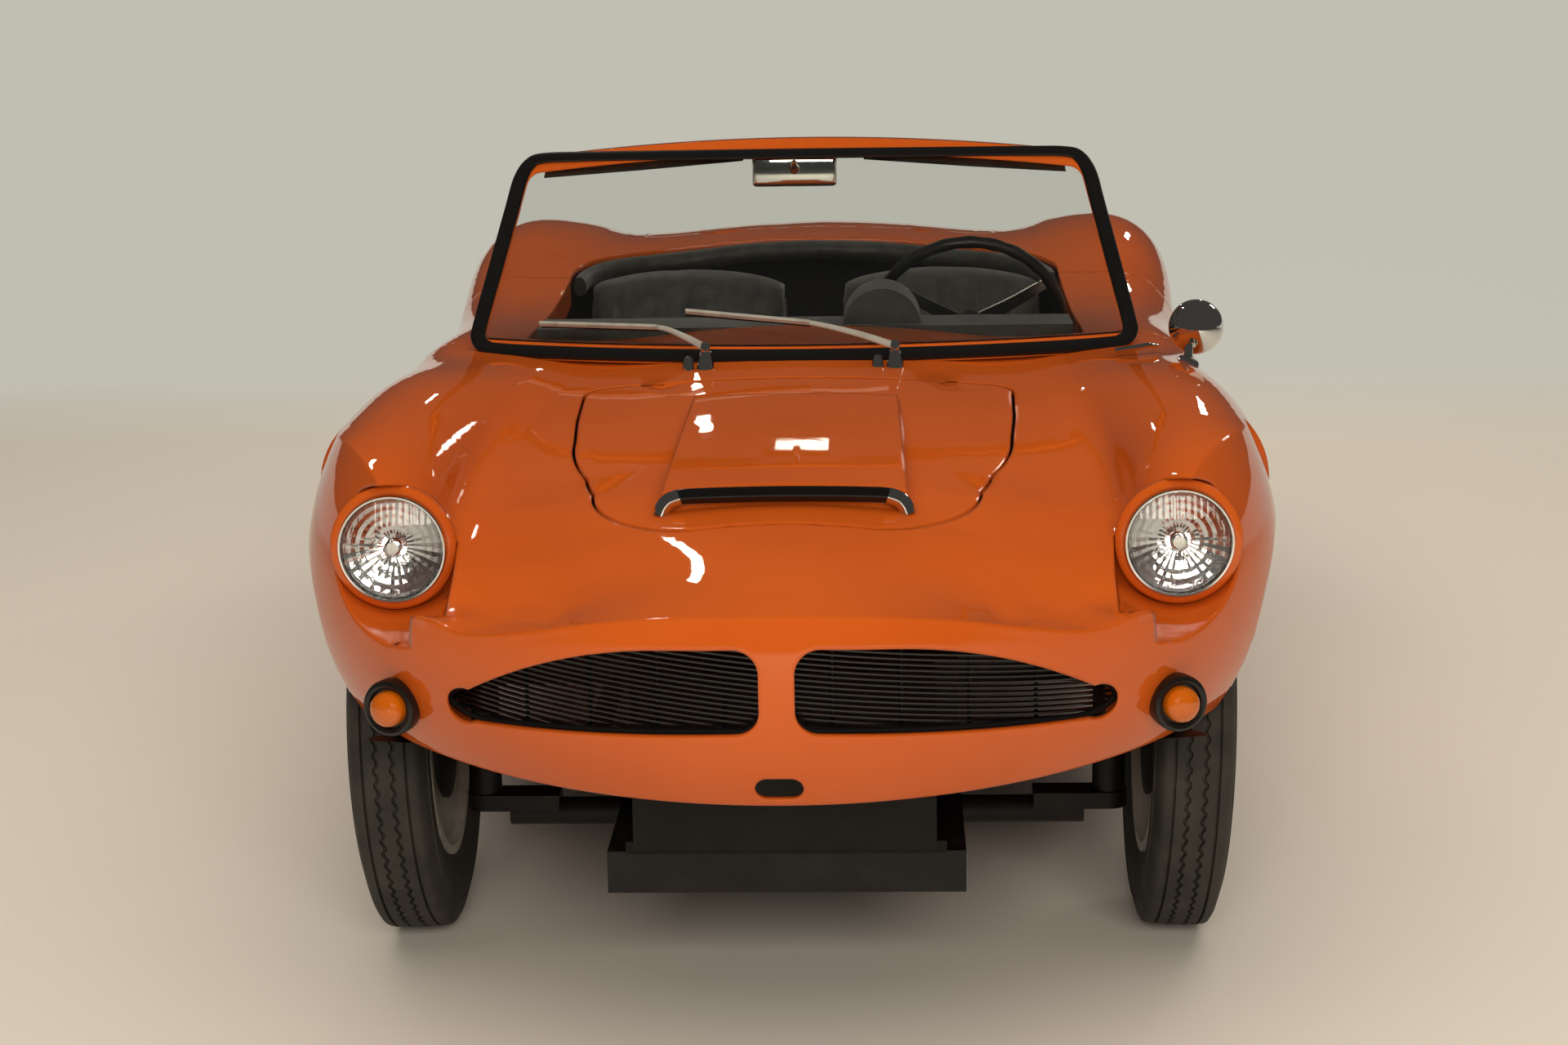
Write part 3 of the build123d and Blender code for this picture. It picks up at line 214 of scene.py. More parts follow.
def disc(radius, sides=12, flat=1.0):
    """A round or oval profile."""
    return [(radius * cos(2 * pi * k / sides), radius * flat * sin(2 * pi * k / sides)) for k in range(sides)]


def rod(start, end, radius, sides=16):
    """A round bar between two points."""
    start, end = Vector(start), Vector(end)
    across = (0, 0, 1) if abs((end - start).normalized().z) < 0.9 else (1, 0, 0)
    return sweep([start, end], disc(radius, sides), up=across)


def rounded_box(size, bevel, segments=3, centre=(0, 0, 0)):
    """A block with rounded edges."""
    mesh = bmesh.new()
    bmesh.ops.create_cube(mesh, size=1.0)
    bmesh.ops.scale(mesh, vec=Vector(size), verts=mesh.verts)
    bmesh.ops.bevel(mesh, geom=list(mesh.edges), offset=bevel, segments=segments, profile=0.5, affect="EDGES")
    mesh.verts.index_update()
    form = ([v.co.copy() for v in mesh.verts], [tuple(v.index for v in f.verts) for f in mesh.faces])
    mesh.free()
    return moved(form, Matrix.Translation(centre))


def new_piece(name, form, finish, body="root", replaces=(), sharp_deg=35.0):
    """A mesh piece that rides on a CAD body."""
    mesh = bpy.data.meshes.new(name)
    mesh.from_pydata([tuple(p) for p in form[0]], [], form[1])
    shape = bmesh.new()
    shape.from_mesh(mesh)
    bmesh.ops.remove_doubles(shape, verts=shape.verts, dist=1e-6)
    bmesh.ops.recalc_face_normals(shape, faces=shape.faces)
    shape.to_mesh(mesh)
    shape.free()
    mesh.shade_smooth()
    mesh.set_sharp_from_angle(angle=radians(sharp_deg))
    mesh.materials.append(material(finish))
    piece = bpy.data.objects.new(name, mesh)
    bpy.context.scene.collection.objects.link(piece)
    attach(piece, body)
    if replaces:
        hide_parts(*replaces)
    return piece


def surface_of(*names):
    """A tree of the faces of CAD nodes, for placing pieces on them."""
    points, faces = [], []
    for name in names:
        mesh = NODES[name].data
        start = len(points)
        points += [v.co.copy() for v in mesh.vertices]
        faces += [tuple(start + k for k in p.vertices) for p in mesh.polygons]
    return BVHTree.FromPolygons(points, faces)


def hit(tree, origin, direction):
    """Where a line meets a surface and the surface's direction there."""
    place, normal, _, _ = tree.ray_cast(Vector(origin), Vector(direction).normalized())
    if place is None:
        raise RuntimeError(f"nothing lies along {tuple(direction)} from {tuple(origin)}")
    return place, normal


def ramp(share):
    """A soft step from 0 to 1."""
    share = min(max(share, 0.0), 1.0)
    return share * share * (3 - 2 * share)


def from_table(table, place, column=1):
    """A value that runs straight between a table's rows, which are in order of their first column."""
    if place <= table[0][0]:
        return table[0][column]
    for low, high in zip(table, table[1:]):
        if place <= high[0]:
            share = (place - low[0]) / (high[0] - low[0])
            return low[column] + (high[column] - low[column]) * share
    return table[-1][column]


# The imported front: height of the valley beside the wing and of the centre line, by y
PACKED_HEIGHTS = [
    (-2.060, 0.640, 0.646), (-1.790, 0.668, 0.706), (-1.660, 0.690, 0.731), (-1.480, 0.716, 0.753),
    (-1.236, 0.746, 0.775),
]
# How far the photograph has the valley and the centre line from there, by y
EASE = [
    (-2.060, 0.000, 0.014), (-1.960, -0.008, 0.010), (-1.902, -0.026, 0.007), (-1.829, -0.044, 0.004),
    (-1.770, -0.042, 0.002), (-1.660, -0.020, 0.0), (-1.560, -0.008, 0.0), (-1.480, -0.002, 0.0),
    (-1.236, 0.0, 0.0),
]
# How far the bonnet lid's edge goes outwards, and the lid's packed half width, by y
LID_EDGE = [
    (-1.648, 0.0), (-1.610, -0.006), (-1.570, 0.001), (-1.540, 0.005), (-1.500, 0.009), (-1.470, 0.012),
    (-1.450, 0.014), (-1.430, 0.009), (-1.410, 0.004), (-1.350, -0.010), (-1.140, -0.006), (-1.010, 0.0),
]
LID_HALF = [
    (-1.648, 0.130), (-1.620, 0.198), (-1.596, 0.222), (-1.550, 0.246), (-1.450, 0.272), (-1.410, 0.292),
    (-1.350, 0.316), (-1.180, 0.350), (-0.835, 0.360),
]

# Where the easing acts: nothing behind ease_rear_y moves, nor the lid's edge outside its range of x
ease_rear_y = -0.860
lid_low_z = 0.620
lid_from_x = 0.190
lid_to_x = 0.460
least_fade = 0.010
valley_x = 0.455
crest_x = 0.590

# Height under which the deck keeps still: at the centre, how much lower beside the wing, and where it falls
still_centre_z = 0.635
still_drop = 0.065
still_from_x = 0.240
still_fade = 0.180

# The crease's ends, which run out beside the lamp wells at this height
crease_end_z = 0.628
crease_share = 0.94
crease_rear_y = -1.720
crease_from_x = 0.420
crease_to_x = 0.560
crease_fade = 0.030
crease_inner_fade = 0.020

# The nose's lower edge, packed and eased: its lowest height and its radius in front view
packed_edge = (0.393, 1.936)
eased_edge = (0.391, 6.300)
edge_rear_y = -1.250
edge_still_z = 0.485
edge_still_rise = 0.095
edge_still_from_x = 0.450
edge_still_fade = 0.080

# The round nose follows its new height where it is at least this far from its centre and this high
round_from = 0.500
round_low_z = 0.320
round_depth = 0.100
round_fade = 0.090


def nose_reach(z):
    """Radius of the round nose at a height."""
    if z > nose_wide_z:
        return nose_radius - nose_shoulder_radius + sqrt(nose_shoulder_radius ** 2 - (z - nose_wide_z) ** 2)
    return nose_radius - nose_tuck_radius + sqrt(nose_tuck_radius ** 2 - (z - nose_wide_z) ** 2)


def nose_y(x, reach):
    """Where a round nose of this reach lies at x."""
    return nose_centre_y - sqrt(reach ** 2 - x ** 2)


def edge_height(edge, x):
    """Height of the nose's lower edge at x, from its lowest height and its radius."""
    lowest, radius = edge
    return lowest + radius - sqrt(radius ** 2 - x ** 2)


def lid_shift(side, y):
    """How far outwards a point near the bonnet lid's edge goes."""
    half = from_table(LID_HALF, y)
    near = ramp((side - lid_from_x) / max(half - lid_from_x, least_fade))
    near *= ramp((lid_to_x - side) / max(lid_to_x - half, least_fade))
    return from_table(LID_EDGE, y) * near


def deck_height(side, y, z):
    """The new height of a point on the nose's top, where the valleys and the crease lie lower."""
    to_valley = ramp(side / valley_x)
    packed_top, lift = (from_table(table, y, 2) * (1 - to_valley) + from_table(table, y) * to_valley
                        for table in (PACKED_HEIGHTS, EASE))
    lift *= 1 - ramp((side - valley_x) / (crest_x - valley_x))
    still_z = still_centre_z - still_drop * ramp((side - still_from_x) / still_fade)
    new_z = z + lift * min(max((z - still_z) / (packed_top - still_z), 0.0), 1.0)
    if y < crease_rear_y:
        share = ramp((crease_rear_y - y) / crease_fade) * ramp((crease_to_x - side) / crease_fade)
        share *= ramp((side - crease_from_x) / crease_inner_fade)
        new_z -= max(new_z - crease_end_z, 0.0) * crease_share * share
    return new_z


def edge_shift(side, z, new_z):
    """The new height of a point of the nose, flatter than packed near its lower edge."""
    low, new_low = edge_height(packed_edge, side), edge_height(eased_edge, side)
    still_z = edge_still_z + edge_still_rise * ramp((side - edge_still_from_x) / edge_still_fade)
    if z <= low:
        return new_low
    if z < still_z:
        return new_low + (z - low) * (still_z - new_low) / (still_z - low)
    return new_z


def eased(place):
    """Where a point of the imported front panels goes, to bring their edges to the photographed car's."""
    x, y, z = place
    if y > ease_rear_y:
        return Vector(place)
    side = abs(x)
    if z > lid_low_z:
        x += (1 if x > 0 else -1) * lid_shift(side, y)
    new_z = deck_height(side, y, z)
    if y < edge_rear_y:
        new_z = edge_shift(side, z, new_z)
        out = hypot(x, y - nose_centre_y)
        if out > round_from:
            reach, new_reach = (nose_reach(max(height, round_low_z)) for height in (z, new_z))
            share = ramp((out - reach + round_depth) / round_fade)
            push = 1 + (new_reach - reach) * share / out
            x, y = x * push, nose_centre_y + (y - nose_centre_y) * push
    return Vector((x, y, new_z))


# Hinges of the lids, as packed: x and y, how far round them the barrels reach, and how they are let in
LID_HINGES = [(x, y) for x in (-0.250, 0.250) for y in (-0.7875, 0.8775)]
hinge_reach_x = 0.032
hinge_reach_y = 0.040
barrel_clear = 0.2 * MM
barrel_depth = 1.5 * MM

# The deck at a hinge is felt for at four points round it, from above
probe_x = 0.050
probe_y = 0.020
probe_z = 1.300


def hinge_decks(tree):
    """Height and slope along Y of the deck at each lid hinge on this surface."""
    decks = []
    for x, y in LID_HINGES:
        found = [tree.ray_cast(Vector((x + i * probe_x, y + j * probe_y, probe_z)), Vector(DOWN))[0]
                 for i in (-1, 1) for j in (-1, 1)]
        if all(found):
            front, rear = (found[0].z + found[2].z) / 2, (found[1].z + found[3].z) / 2
            decks.append((x, y, (rear + front) / 2, (rear - front) / (2 * probe_y)))
    return decks


def hinge_deck(place, decks):
    """Height of the deck under a point of a hinge barrel, or None for any other point."""
    for x, y, height, slope in decks:
        deck = height + slope * (place.y - y)
        near = abs(place.x - x) < hinge_reach_x and abs(place.y - y) < hinge_reach_y
        if near and place.z > deck + barrel_clear:
            return deck
    return None


# How far beside a point its stretch is measured, and the least move and stretch that count
ease_step = 0.5 * MM
least_move = 1e-6
least_stretch = 1e-3


def stretch_at(place, new):
    """How the easing turns and stretches the surface about a point that goes to new."""
    columns = []
    for axis in range(3):
        nudge = Vector((0, 0, 0))
        nudge[axis] = ease_step
        columns.append((eased(place + nudge) - new) / ease_step)
    return Matrix(columns).transposed()


# The part of the cut edge under the nose that is painted black like the chassis's underseal; this is partly
# painted shade, which merges the strip there with the shadow under the nose
edge_shade_black_y = (-1.700, -0.950)
edge_wall = 1 * MM


def on_shade_black_edge(place):
    """Whether a packed point lies on the part of the cut edge that is painted black, partly as painted shade.
    """
    front, rear = edge_shade_black_y
    return front < place.y < rear and place.z <= edge_height(packed_edge, abs(place.x)) + edge_wall


def panel_of(name, body, decks):
    """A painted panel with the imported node's form, eased to the photograph, with its hinge barrels let in."""
    source = NODES[name].data
    mesh = source.copy()
    mesh.name = name + "_skin"
    normals = [Vector(n.vector) for n in source.corner_normals]
    turned = {}
    for vertex in source.vertices:
        place = vertex.co
        deck = hinge_deck(place, decks)
        if deck is not None:
            mesh.vertices[vertex.index].co.z = deck - barrel_depth
            turned[vertex.index] = None
        new = eased(place)
        if (new - place).length < least_move:
            continue
        mesh.vertices[vertex.index].co = new
        stretch = stretch_at(place, new)
        if abs(stretch.determinant()) > least_stretch:
            turned[vertex.index] = stretch.inverted().transposed()
    for loop in mesh.loops:
        if loop.vertex_index in turned:
            turn = turned[loop.vertex_index]
            normals[loop.index] = Vector(UP) if turn is None else (turn @ normals[loop.index]).normalized()
    mesh.normals_split_custom_set([tuple(n) for n in normals])
    mesh.materials.clear()
    mesh.materials.append(material("orange_body_enamel"))
    if name == "body_front":
        # The cut edge under the nose is painted chassis black: underseal, and partly painted shade that merges
        # it with the shadow under the nose
        mesh.materials.append(material("chassis_enamel"))
        for polygon in mesh.polygons:
            if all(on_shade_black_edge(source.vertices[k].co) for k in polygon.vertices):
                polygon.material_index = 1
    piece = bpy.data.objects.new(name + "_skin", mesh)
    bpy.context.scene.collection.objects.link(piece)
    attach(piece, body)
    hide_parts(name)


def screen_point(x, z, front):
    """A point in front of the windscreen's face."""
    (low_z, low_y, low_radius), (high_z, high_y, high_radius) = screen_low, screen_high
    share = (z - low_z) / (high_z - low_z)
    radius = low_radius + (high_radius - low_radius) * share
    return Vector((x, low_y + (high_y - low_y) * share + radius - sqrt(radius ** 2 - x ** 2) - front, z))


def tail_place(x, z):
    """A matrix on the round tail at x, with Z facing out and X upwards."""
    across = asin(x / tail_radius)
    out = Vector((sin(across), cos(across), 0.0))
    return axis_place(Vector((0, tail_centre_y, z)) + out * tail_radius, out, (0, 0, 1))


# Material helpers
def linear(hex_text):
    """The linear colour of an sRGB hex value."""
    channels = []
    for k in (0, 2, 4):
        c = int(hex_text.lstrip("#")[k:k + 2], 16) / 255
        channels.append(c / 12.92 if c <= 0.04045 else ((c + 0.055) / 1.055) ** 2.4)
    return (*channels, 1.0)


def add_node(tree, kind, settings=(), values=(), links=()):
    """Adds a node: settings are its properties, values its sockets' numbers, links its sockets' sources."""
    made = tree.nodes.new(kind)
    for name, value in dict(settings).items():
        setattr(made, name, value)
    for name, value in dict(values).items():
        made.inputs[name].default_value = value
    for name, source in dict(links).items():
        tree.links.new(source, made.inputs[name])
    return made


def new_material(name, colour, roughness, **sockets):
    """A material with its Principled shader, ready for its pattern."""
    made = bpy.data.materials.new(name)
    made.use_nodes = True
    shader = made.node_tree.nodes["Principled BSDF"]
    shader.inputs["Base Color"].default_value = colour
    shader.inputs["Roughness"].default_value = roughness
    for socket, value in sockets.items():
        shader.inputs[socket.replace("_", " ")].default_value = value
    return made, made.node_tree, shader


def tone(name):
    """A linear colour, from an sRGB hex value or from the panel's colour of that name."""
    if name.startswith("#"):
        return linear(name)
    return getattr(bpy.context.scene.roadster_colours, name)


MATERIALS = {}

# Body paint is soft at its edges by this radius; a wave texture at scale 1 has this many waves in 2 pi units
edge_softness = 9 * MM
waves_per_turn = 20


def material(name):
    """A finish by name, made from its row and its layers when it is first asked for."""
    if name in MATERIALS:
        return MATERIALS[name]
    colour, roughness, sockets, layers = FINISHES[name]
    made, tree, shader = new_material(name, tone(colour), roughness, **sockets)
    place = add_node(tree, "ShaderNodeTexCoord").outputs["Object"]
    normal = None
    if name == "orange_body_enamel":
        soft = add_node(tree, "ShaderNodeBevel", settings={"samples": 8}, values={"Radius": edge_softness})
        normal = soft.outputs[0]
    for use, kind, size_mm, *span in layers:
        scale = 2 * pi / (waves_per_turn * size_mm * MM) if kind == "Wave" else 1 / (size_mm * MM)
        values = {"Scale": scale, "Detail": 3.0} if kind == "Noise" else {"Scale": scale}
        texture = add_node(tree, "ShaderNodeTex" + kind, values=values, links={"Vector": place})
        source = texture.outputs[0]
        if use == "relief":
            links = {"Height": source}
            if normal:
                links["Normal"] = normal
            normal = add_node(tree, "ShaderNodeBump", values={"Strength": 1.0, "Distance": span[0] * MM},
                              links=links).outputs["Normal"]
            continue
        share = add_node(tree, "ShaderNodeMapRange", values={"From Min": span[0], "From Max": span[1]},
                         links={"Value": source})
        if use == "gloss":
            share.inputs["To Min"].default_value = span[2]
            share.inputs["To Max"].default_value = span[3]
            tree.links.new(share.outputs["Result"], shader.inputs["Roughness"])
        else:
            tones = add_node(tree, "ShaderNodeMix", settings={"data_type": "RGBA"},
                             values={6: tone(span[2]), 7: tone(span[3])}, links={0: share.outputs["Result"]})
            tree.links.new(tones.outputs[2], shader.inputs["Base Color"])
    if normal:
        tree.links.new(normal, shader.inputs["Normal"])
        if "Coat_Weight" in sockets:
            tree.links.new(normal, shader.inputs["Coat Normal"])
    MATERIALS[name] = made
    return made


# Finishes: colour as an sRGB hex value or one of the panel's, roughness, other sockets, and layers of
# pattern. A layer is its use, its texture and the size of its grain in mm, then a relief's depth in mm, or
# the texture's range and what it runs between.
FINISHES = {
    # Two-pack enamel on glass fibre, flatted and polished: deep clear gloss, faintly wavy, soft at the edges
    "orange_body_enamel": ("body", 0.42,
                           {"Coat_Weight": 1.0, "Coat_Roughness": 0.02, "Specular_IOR_Level": 0.0},
                           [("relief", "Noise", 45, 0.10), ("relief", "Noise", 2.5, 0.004),
                            ("tone", "Noise", 350, 0.35, 0.65, "body_light", "body_dark")]),
    # Carbon-black tyre rubber, moulded: dull, with a brown bloom and dust in the grain
    "tyre_rubber": ("#262522", 0.78, {"IOR": 1.52},
                    [("relief", "Noise", 1.5, 0.15),
                     ("tone", "Noise", 60, 0.35, 0.75, "#2B2A27", "#3D3A34")]),
    # Chromium plate on polished brass: a clear mirror with the faintest haze
    "bright_chrome": ("#DADAD8", 0.05, {"Metallic": 1.0}, [("gloss", "Noise", 8, 0.3, 0.8, 0.03, 0.08)]),
    # Stainless strip, linished: satin, its lines drawn coarser than life so that they show
    "satin_stainless": ("#B4B2AB", 0.3, {"Metallic": 1.0}, [("gloss", "Noise", 1.5, 0.3, 0.7, 0.22, 0.38)]),
    # Black ABS, moulded against an etched tool: fine grain, low sheen
    "black_moulded_plastic": ("#161616", 0.45, {"IOR": 1.5}, [("relief", "Voronoi", 1.2, 0.10)]),
    # Stove enamel over steel pressings: gloss black, slightly uneven
    "black_gloss_enamel": ("#0E0E0F", 0.2, {"IOR": 1.5}, [("gloss", "Noise", 12, 0.3, 0.8, 0.12, 0.30)]),
    # Brushed chassis black with road dust settled on it: dull, browner where the dust lies
    "chassis_enamel": ("#0D0D0D", 0.55, {"IOR": 1.5},
                       [("relief", "Noise", 4, 0.12),
                        ("tone", "Noise", 45, 0.45, 0.85, "#0D0D0D", "#1D1A17")]),
    # Coated seat fabric embossed with a hide grain about 1.6 mm across: half dull, greyer where stretched
    "black_leathercloth": ("#20201F", 0.48, {"IOR": 1.46, "Sheen_Weight": 0.15, "Sheen_Roughness": 0.5},
                           [("relief", "Noise", 30, 1.0), ("relief", "Voronoi", 1.6, 0.06),
                            ("tone", "Noise", 30, 0.3, 0.7, "#2C2C2A", "#3F3F39")]),
    # Extruded rubber weatherstrip: black, smooth, half dull
    "seal_rubber": ("#111111", 0.4, {"IOR": 1.52}, [("relief", "Noise", 3, 0.05)]),
    # Ribbed rubber matting with a pitch of 8 mm and dust in the grooves
    "floor_rubber": ("#191918", 0.8, {"IOR": 1.5},
                     [("relief", "Wave", 8, 1.0), ("tone", "Noise", 80, 0.4, 0.8, "#181817", "#2B2925")]),
    # Looped wool carpet, drawn at 4 mm a loop: no gloss at all
    "charcoal_carpet": ("#1E1D1C", 0.95, {"Sheen_Weight": 0.3},
                        [("relief", "Noise", 4, 0.6), ("tone", "Noise", 6, 0.3, 0.7, "#100F0F", "#191817")]),
    # Laminated glass, 6 mm: clear, with the slightest green
    "windscreen_glass": ("#F4F8F6", 0.0, {"IOR": 1.45, "Transmission_Weight": 1.0}, []),
    # Pressed lamp glass: clear, with flutes about 9 mm wide that spread the light
    "lamp_glass": ("#FAFBFB", 0.0, {"IOR": 1.48, "Transmission_Weight": 1.0}, [("relief", "Wave", 9, 0.35)]),
    # Moulded amber acrylic: saturated, lit from its depth, pressed in small cells
    "amber_lens": ("#E4710A", 0.12, {"IOR": 1.49, "Transmission_Weight": 0.35, "Coat_Weight": 0.6},
                   [("relief", "Voronoi", 5, 0.35)]),
    # Moulded red acrylic over a stepped reflector, pressed in small cells
    "red_lens": ("#A5100C", 0.12, {"IOR": 1.49, "Transmission_Weight": 0.3, "Coat_Weight": 0.6},
                 [("relief", "Voronoi", 5, 0.35)]),
    # Vacuum-aluminised steel reflector: bright, a little uneven where it was pressed
    "aluminised_reflector": ("#E0E1E3", 0.12, {"Metallic": 1.0}, [("relief", "Noise", 14, 0.8)]),
    # Aluminium-flake wheel enamel with brake dust in its corners
    "silver_wheel_enamel": ("wheels", 0.38, {"Metallic": 0.35},
                            [("tone", "Noise", 30, 0.5, 0.9, "#BDBAB0", "#8A857A")]),
    # Sand-cast iron and alloy under an oil haze: grey iron, grainy, but its colour is darkened almost to black
    # as painted shade, so that the engine under the nose reads as the shadow there
    "cast_iron_dark_as_shade": ("#181714", 0.65, {"Metallic": 0.3},
                  [("relief", "Noise", 2, 0.3), ("tone", "Noise", 70, 0.4, 0.8, "#191815", "#0F0F0E")]),
    # Mild steel pipe, browned by heat and road water
    "exhaust_steel": ("#6B6259", 0.5, {"Metallic": 0.8},
                      [("tone", "Noise", 25, 0.4, 0.75, "#77706A", "#5B3E2A")]),
    # Silvered flat glass, with a faint haze
    "mirror_glass": ("#D8DCDC", 0.01, {"Metallic": 1.0}, [("gloss", "Noise", 20, 0.3, 0.8, 0.01, 0.03)]),
    # Screen-printed dial behind glass: matt black under a clear coat
    "dial_face": ("#0C0C0C", 0.6, {"Coat_Weight": 1.0}, [("relief", "Noise", 1, 0.01)]),
    # Off-white printing ink, slightly uneven
    "dial_paint": ("#E6E2D2", 0.6, {}, [("tone", "Noise", 3, 0.3, 0.7, "#E6E2D2", "#D8D3C0")]),
}

# CAD nodes that are shown as they are, by their finish
SHOWN_NODES = {
    "orange_body_enamel": ["sills", "door_left", "door_right", "windscreen_frame"],
    "windscreen_glass": ["windscreen_glass"],
    "chassis_enamel": ["platform_chassis", "firewall", "front_axle", "rear_axle", "knuckle_left",
                       "knuckle_right"],
    "charcoal_carpet": ["tunnel", "rear_bulkhead"],
    "floor_rubber": ["boot_floor"],
    # The engine's cast iron is painted almost black, as painted shade under the nose
    "cast_iron_dark_as_shade": ["engine_block"],
    "black_leathercloth": ["dashboard"],
    "black_moulded_plastic": ["steering_column", "gear_lever"],
    "exhaust_steel": ["exhaust"],
    "red_lens": ["tail_lamps"],
    "silver_wheel_enamel": ["rim_" + name for name, *_ in WHEELS],
}


# Nose
PANEL_PAIRS = [
    (("body_front", "root"), ("bonnet_lid", "bonnet")),
    (("body_rear", "root"), ("boot_lid", "boot")),
]


def make_panels():
    """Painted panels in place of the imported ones."""
    for pair in PANEL_PAIRS:
        decks = hinge_decks(surface_of(*(name for name, _ in pair)))
        for name, body in pair:
            panel_of(name, body, decks)


# The scoop's lip from its middle to its lower end
LIP_LINE = [
    (0.0, -1.5745, 0.7600), (0.060, -1.5745, 0.7595), (0.120, -1.5740, 0.7580), (0.150, -1.5735, 0.7560),
    (0.166, -1.5735, 0.7500), (0.175, -1.5740, 0.7400), (0.179, -1.5745, 0.7300),
]
lip_radius = 0.0115
lip_end_radius = 0.0125
lip_end_start = 3


def make_scoop_lip():
    """A black bar over the scoop's mouth, with bright ends."""
    path = smooth_path([(-x, y, z) for x, y, z in reversed(LIP_LINE[1:])] + LIP_LINE, 6)
    bar = [(a * 0.75, b) for a, b in disc(lip_radius, 14)]
    new_piece("scoop_lip_bar", sweep(path, bar, up=(0, 0.2, 1)), "black_gloss_enamel",
              "bonnet", ["scoop_lip"])
    cap = [(a * 0.8, b) for a, b in disc(lip_end_radius, 14)]
    ends = sweep(smooth_path(LIP_LINE[lip_end_start:], 6), cap, up=(0.6, 0.2, 1))
    new_piece("scoop_lip_ends", both_sides(ends), "bright_chrome", "bonnet")


# The nostrils' outline: x and z
GRILLE_TOP = [
    (0.020, 0.600), (0.040, 0.622), (0.060, 0.627), (0.154, 0.624), (0.230, 0.615), (0.300, 0.600),
    (0.380, 0.572), (0.430, 0.545), (0.464, 0.515),
]
GRILLE_LOW = [
    (0.020, 0.530), (0.040, 0.510), (0.060, 0.507), (0.200, 0.501), (0.330, 0.495), (0.424, 0.490),
    (0.464, 0.515),
]
grille_setback = 0.052
surround_setback = 0.020
surround_radius = 0.005

# Slats: rows counted from slat_base_z, run along x, reach past the outline, and section
SLAT_ROWS = range(-4, 26)
slat_base_z = 0.480
slat_start_x = 0.016
slat_length = 0.455
slat_steps = 24
slat_over = 0.012
SLAT_SECTION = [(0.0, -0.0016), (0.009, -0.0013), (0.009, 0.0013), (0.0, 0.0016)]
RIB_X = (0.072, 0.165, 0.258, 0.351)
rib_radius = 0.003
rib_over = 0.014
rib_behind = 0.0125


def make_grille():
    """Fine slats that fall towards the car's left, bowed with the nose, on ribs, in rubber surrounds."""
    sizes = bpy.context.scene.roadster_sizes
    reach = nose_radius - grille_setback
    forms = []
    for side in (1, -1):
        for row in SLAT_ROWS:
            run = []
            for n in range(slat_steps + 1):
                x = slat_start_x + slat_length * n / slat_steps
                z = slat_base_z + row * sizes.slat_pitch - side * x * sin(sizes.slat_tilt)
                if from_table(GRILLE_LOW, x) - slat_over < z < from_table(GRILLE_TOP, x) + slat_over:
                    run.append(Vector((side * x, nose_y(x, reach), z)))
            if len(run) > 2:
                forms.append(sweep(run, [(side * a, b) for a, b in SLAT_SECTION]))
        for x in RIB_X:
            y = nose_y(x, reach) + rib_behind
            low, high = from_table(GRILLE_LOW, x) - rib_over, from_table(GRILLE_TOP, x) + rib_over
            forms.append(rod((side * x, y, low), (side * x, y, high), rib_radius, 8))
    new_piece("grille_slats", merged(*forms), "black_gloss_enamel", replaces=["grille_mesh"])
    outline = GRILLE_TOP + GRILLE_LOW[-2::-1]
    surrounds = []
    for side in (1, -1):
        path = [(side * x, nose_y(x, nose_reach(z) - surround_setback), z) for x, z in outline]
        surrounds.append(sweep(smooth_path(path, 5, closed=True), disc(surround_radius, 8), closed=True))
    new_piece("grille_surrounds", merged(*surrounds), "seal_rubber")


# Headlamps, turned about their axis: radius, and height in front of the lamp's face
GLASS_DOME = [(0.0745 * k / 10, 0.001 + 0.0145 * (1 - (k / 10) ** 2)) for k in range(11)]
GLASS_BACK = [(r * 0.985, h - 0.0032) for r, h in reversed(GLASS_DOME)]
LAMP_RIM = [
    (0.0735, -0.004), (0.0738, 0.0035), (0.0750, 0.0060), (0.0775, 0.0062), (0.0790, 0.0035),
    (0.0792, -0.006), (0.0735, -0.006),
]
LAMP_WELL = [(0.0785, -0.0275), (0.0785, -0.0035), (0.0830, -0.0045), (0.0915, -0.0090), (0.0915, -0.0275)]
BULB = [(0.0, -0.005), (0.0035, -0.006), (0.0055, -0.009), (0.006, -0.014), (0.006, -0.021), (0.0, -0.023)]
BULB_SHADE = [(0.0, -0.0035), (0.009, -0.004), (0.0125, -0.0085), (0.0115, -0.0085), (0.0, -0.0045)]

# The reflector's bowl: radii, depth and the facets pressed into it
bowl_inner_radius = 0.012
bowl_width = 0.0615
bowl_low = -0.0225
bowl_rise = 0.0215
facet_rows = 5
facet_sectors = 28
facet_depth = 0.0011


def reflector_bowl():
    """A shallow bowl in which every other point of every other row is pressed in."""
    bowl = []
    for k in range(2 * facet_sectors + 1):
        turn = pi * k / facet_sectors
        row = []
        for n in range(2 * facet_rows + 1):
            r = bowl_inner_radius + bowl_width * n / (2 * facet_rows)
            facet = facet_depth if n % 2 and k % 2 else 0.0
            rise = bowl_rise * (r / (bowl_inner_radius + bowl_width)) ** 2
            row.append((r * cos(turn), r * sin(turn), bowl_low + rise - facet))
        bowl.append(row)
    return skin(bowl, closed_ring=False, cap=False)


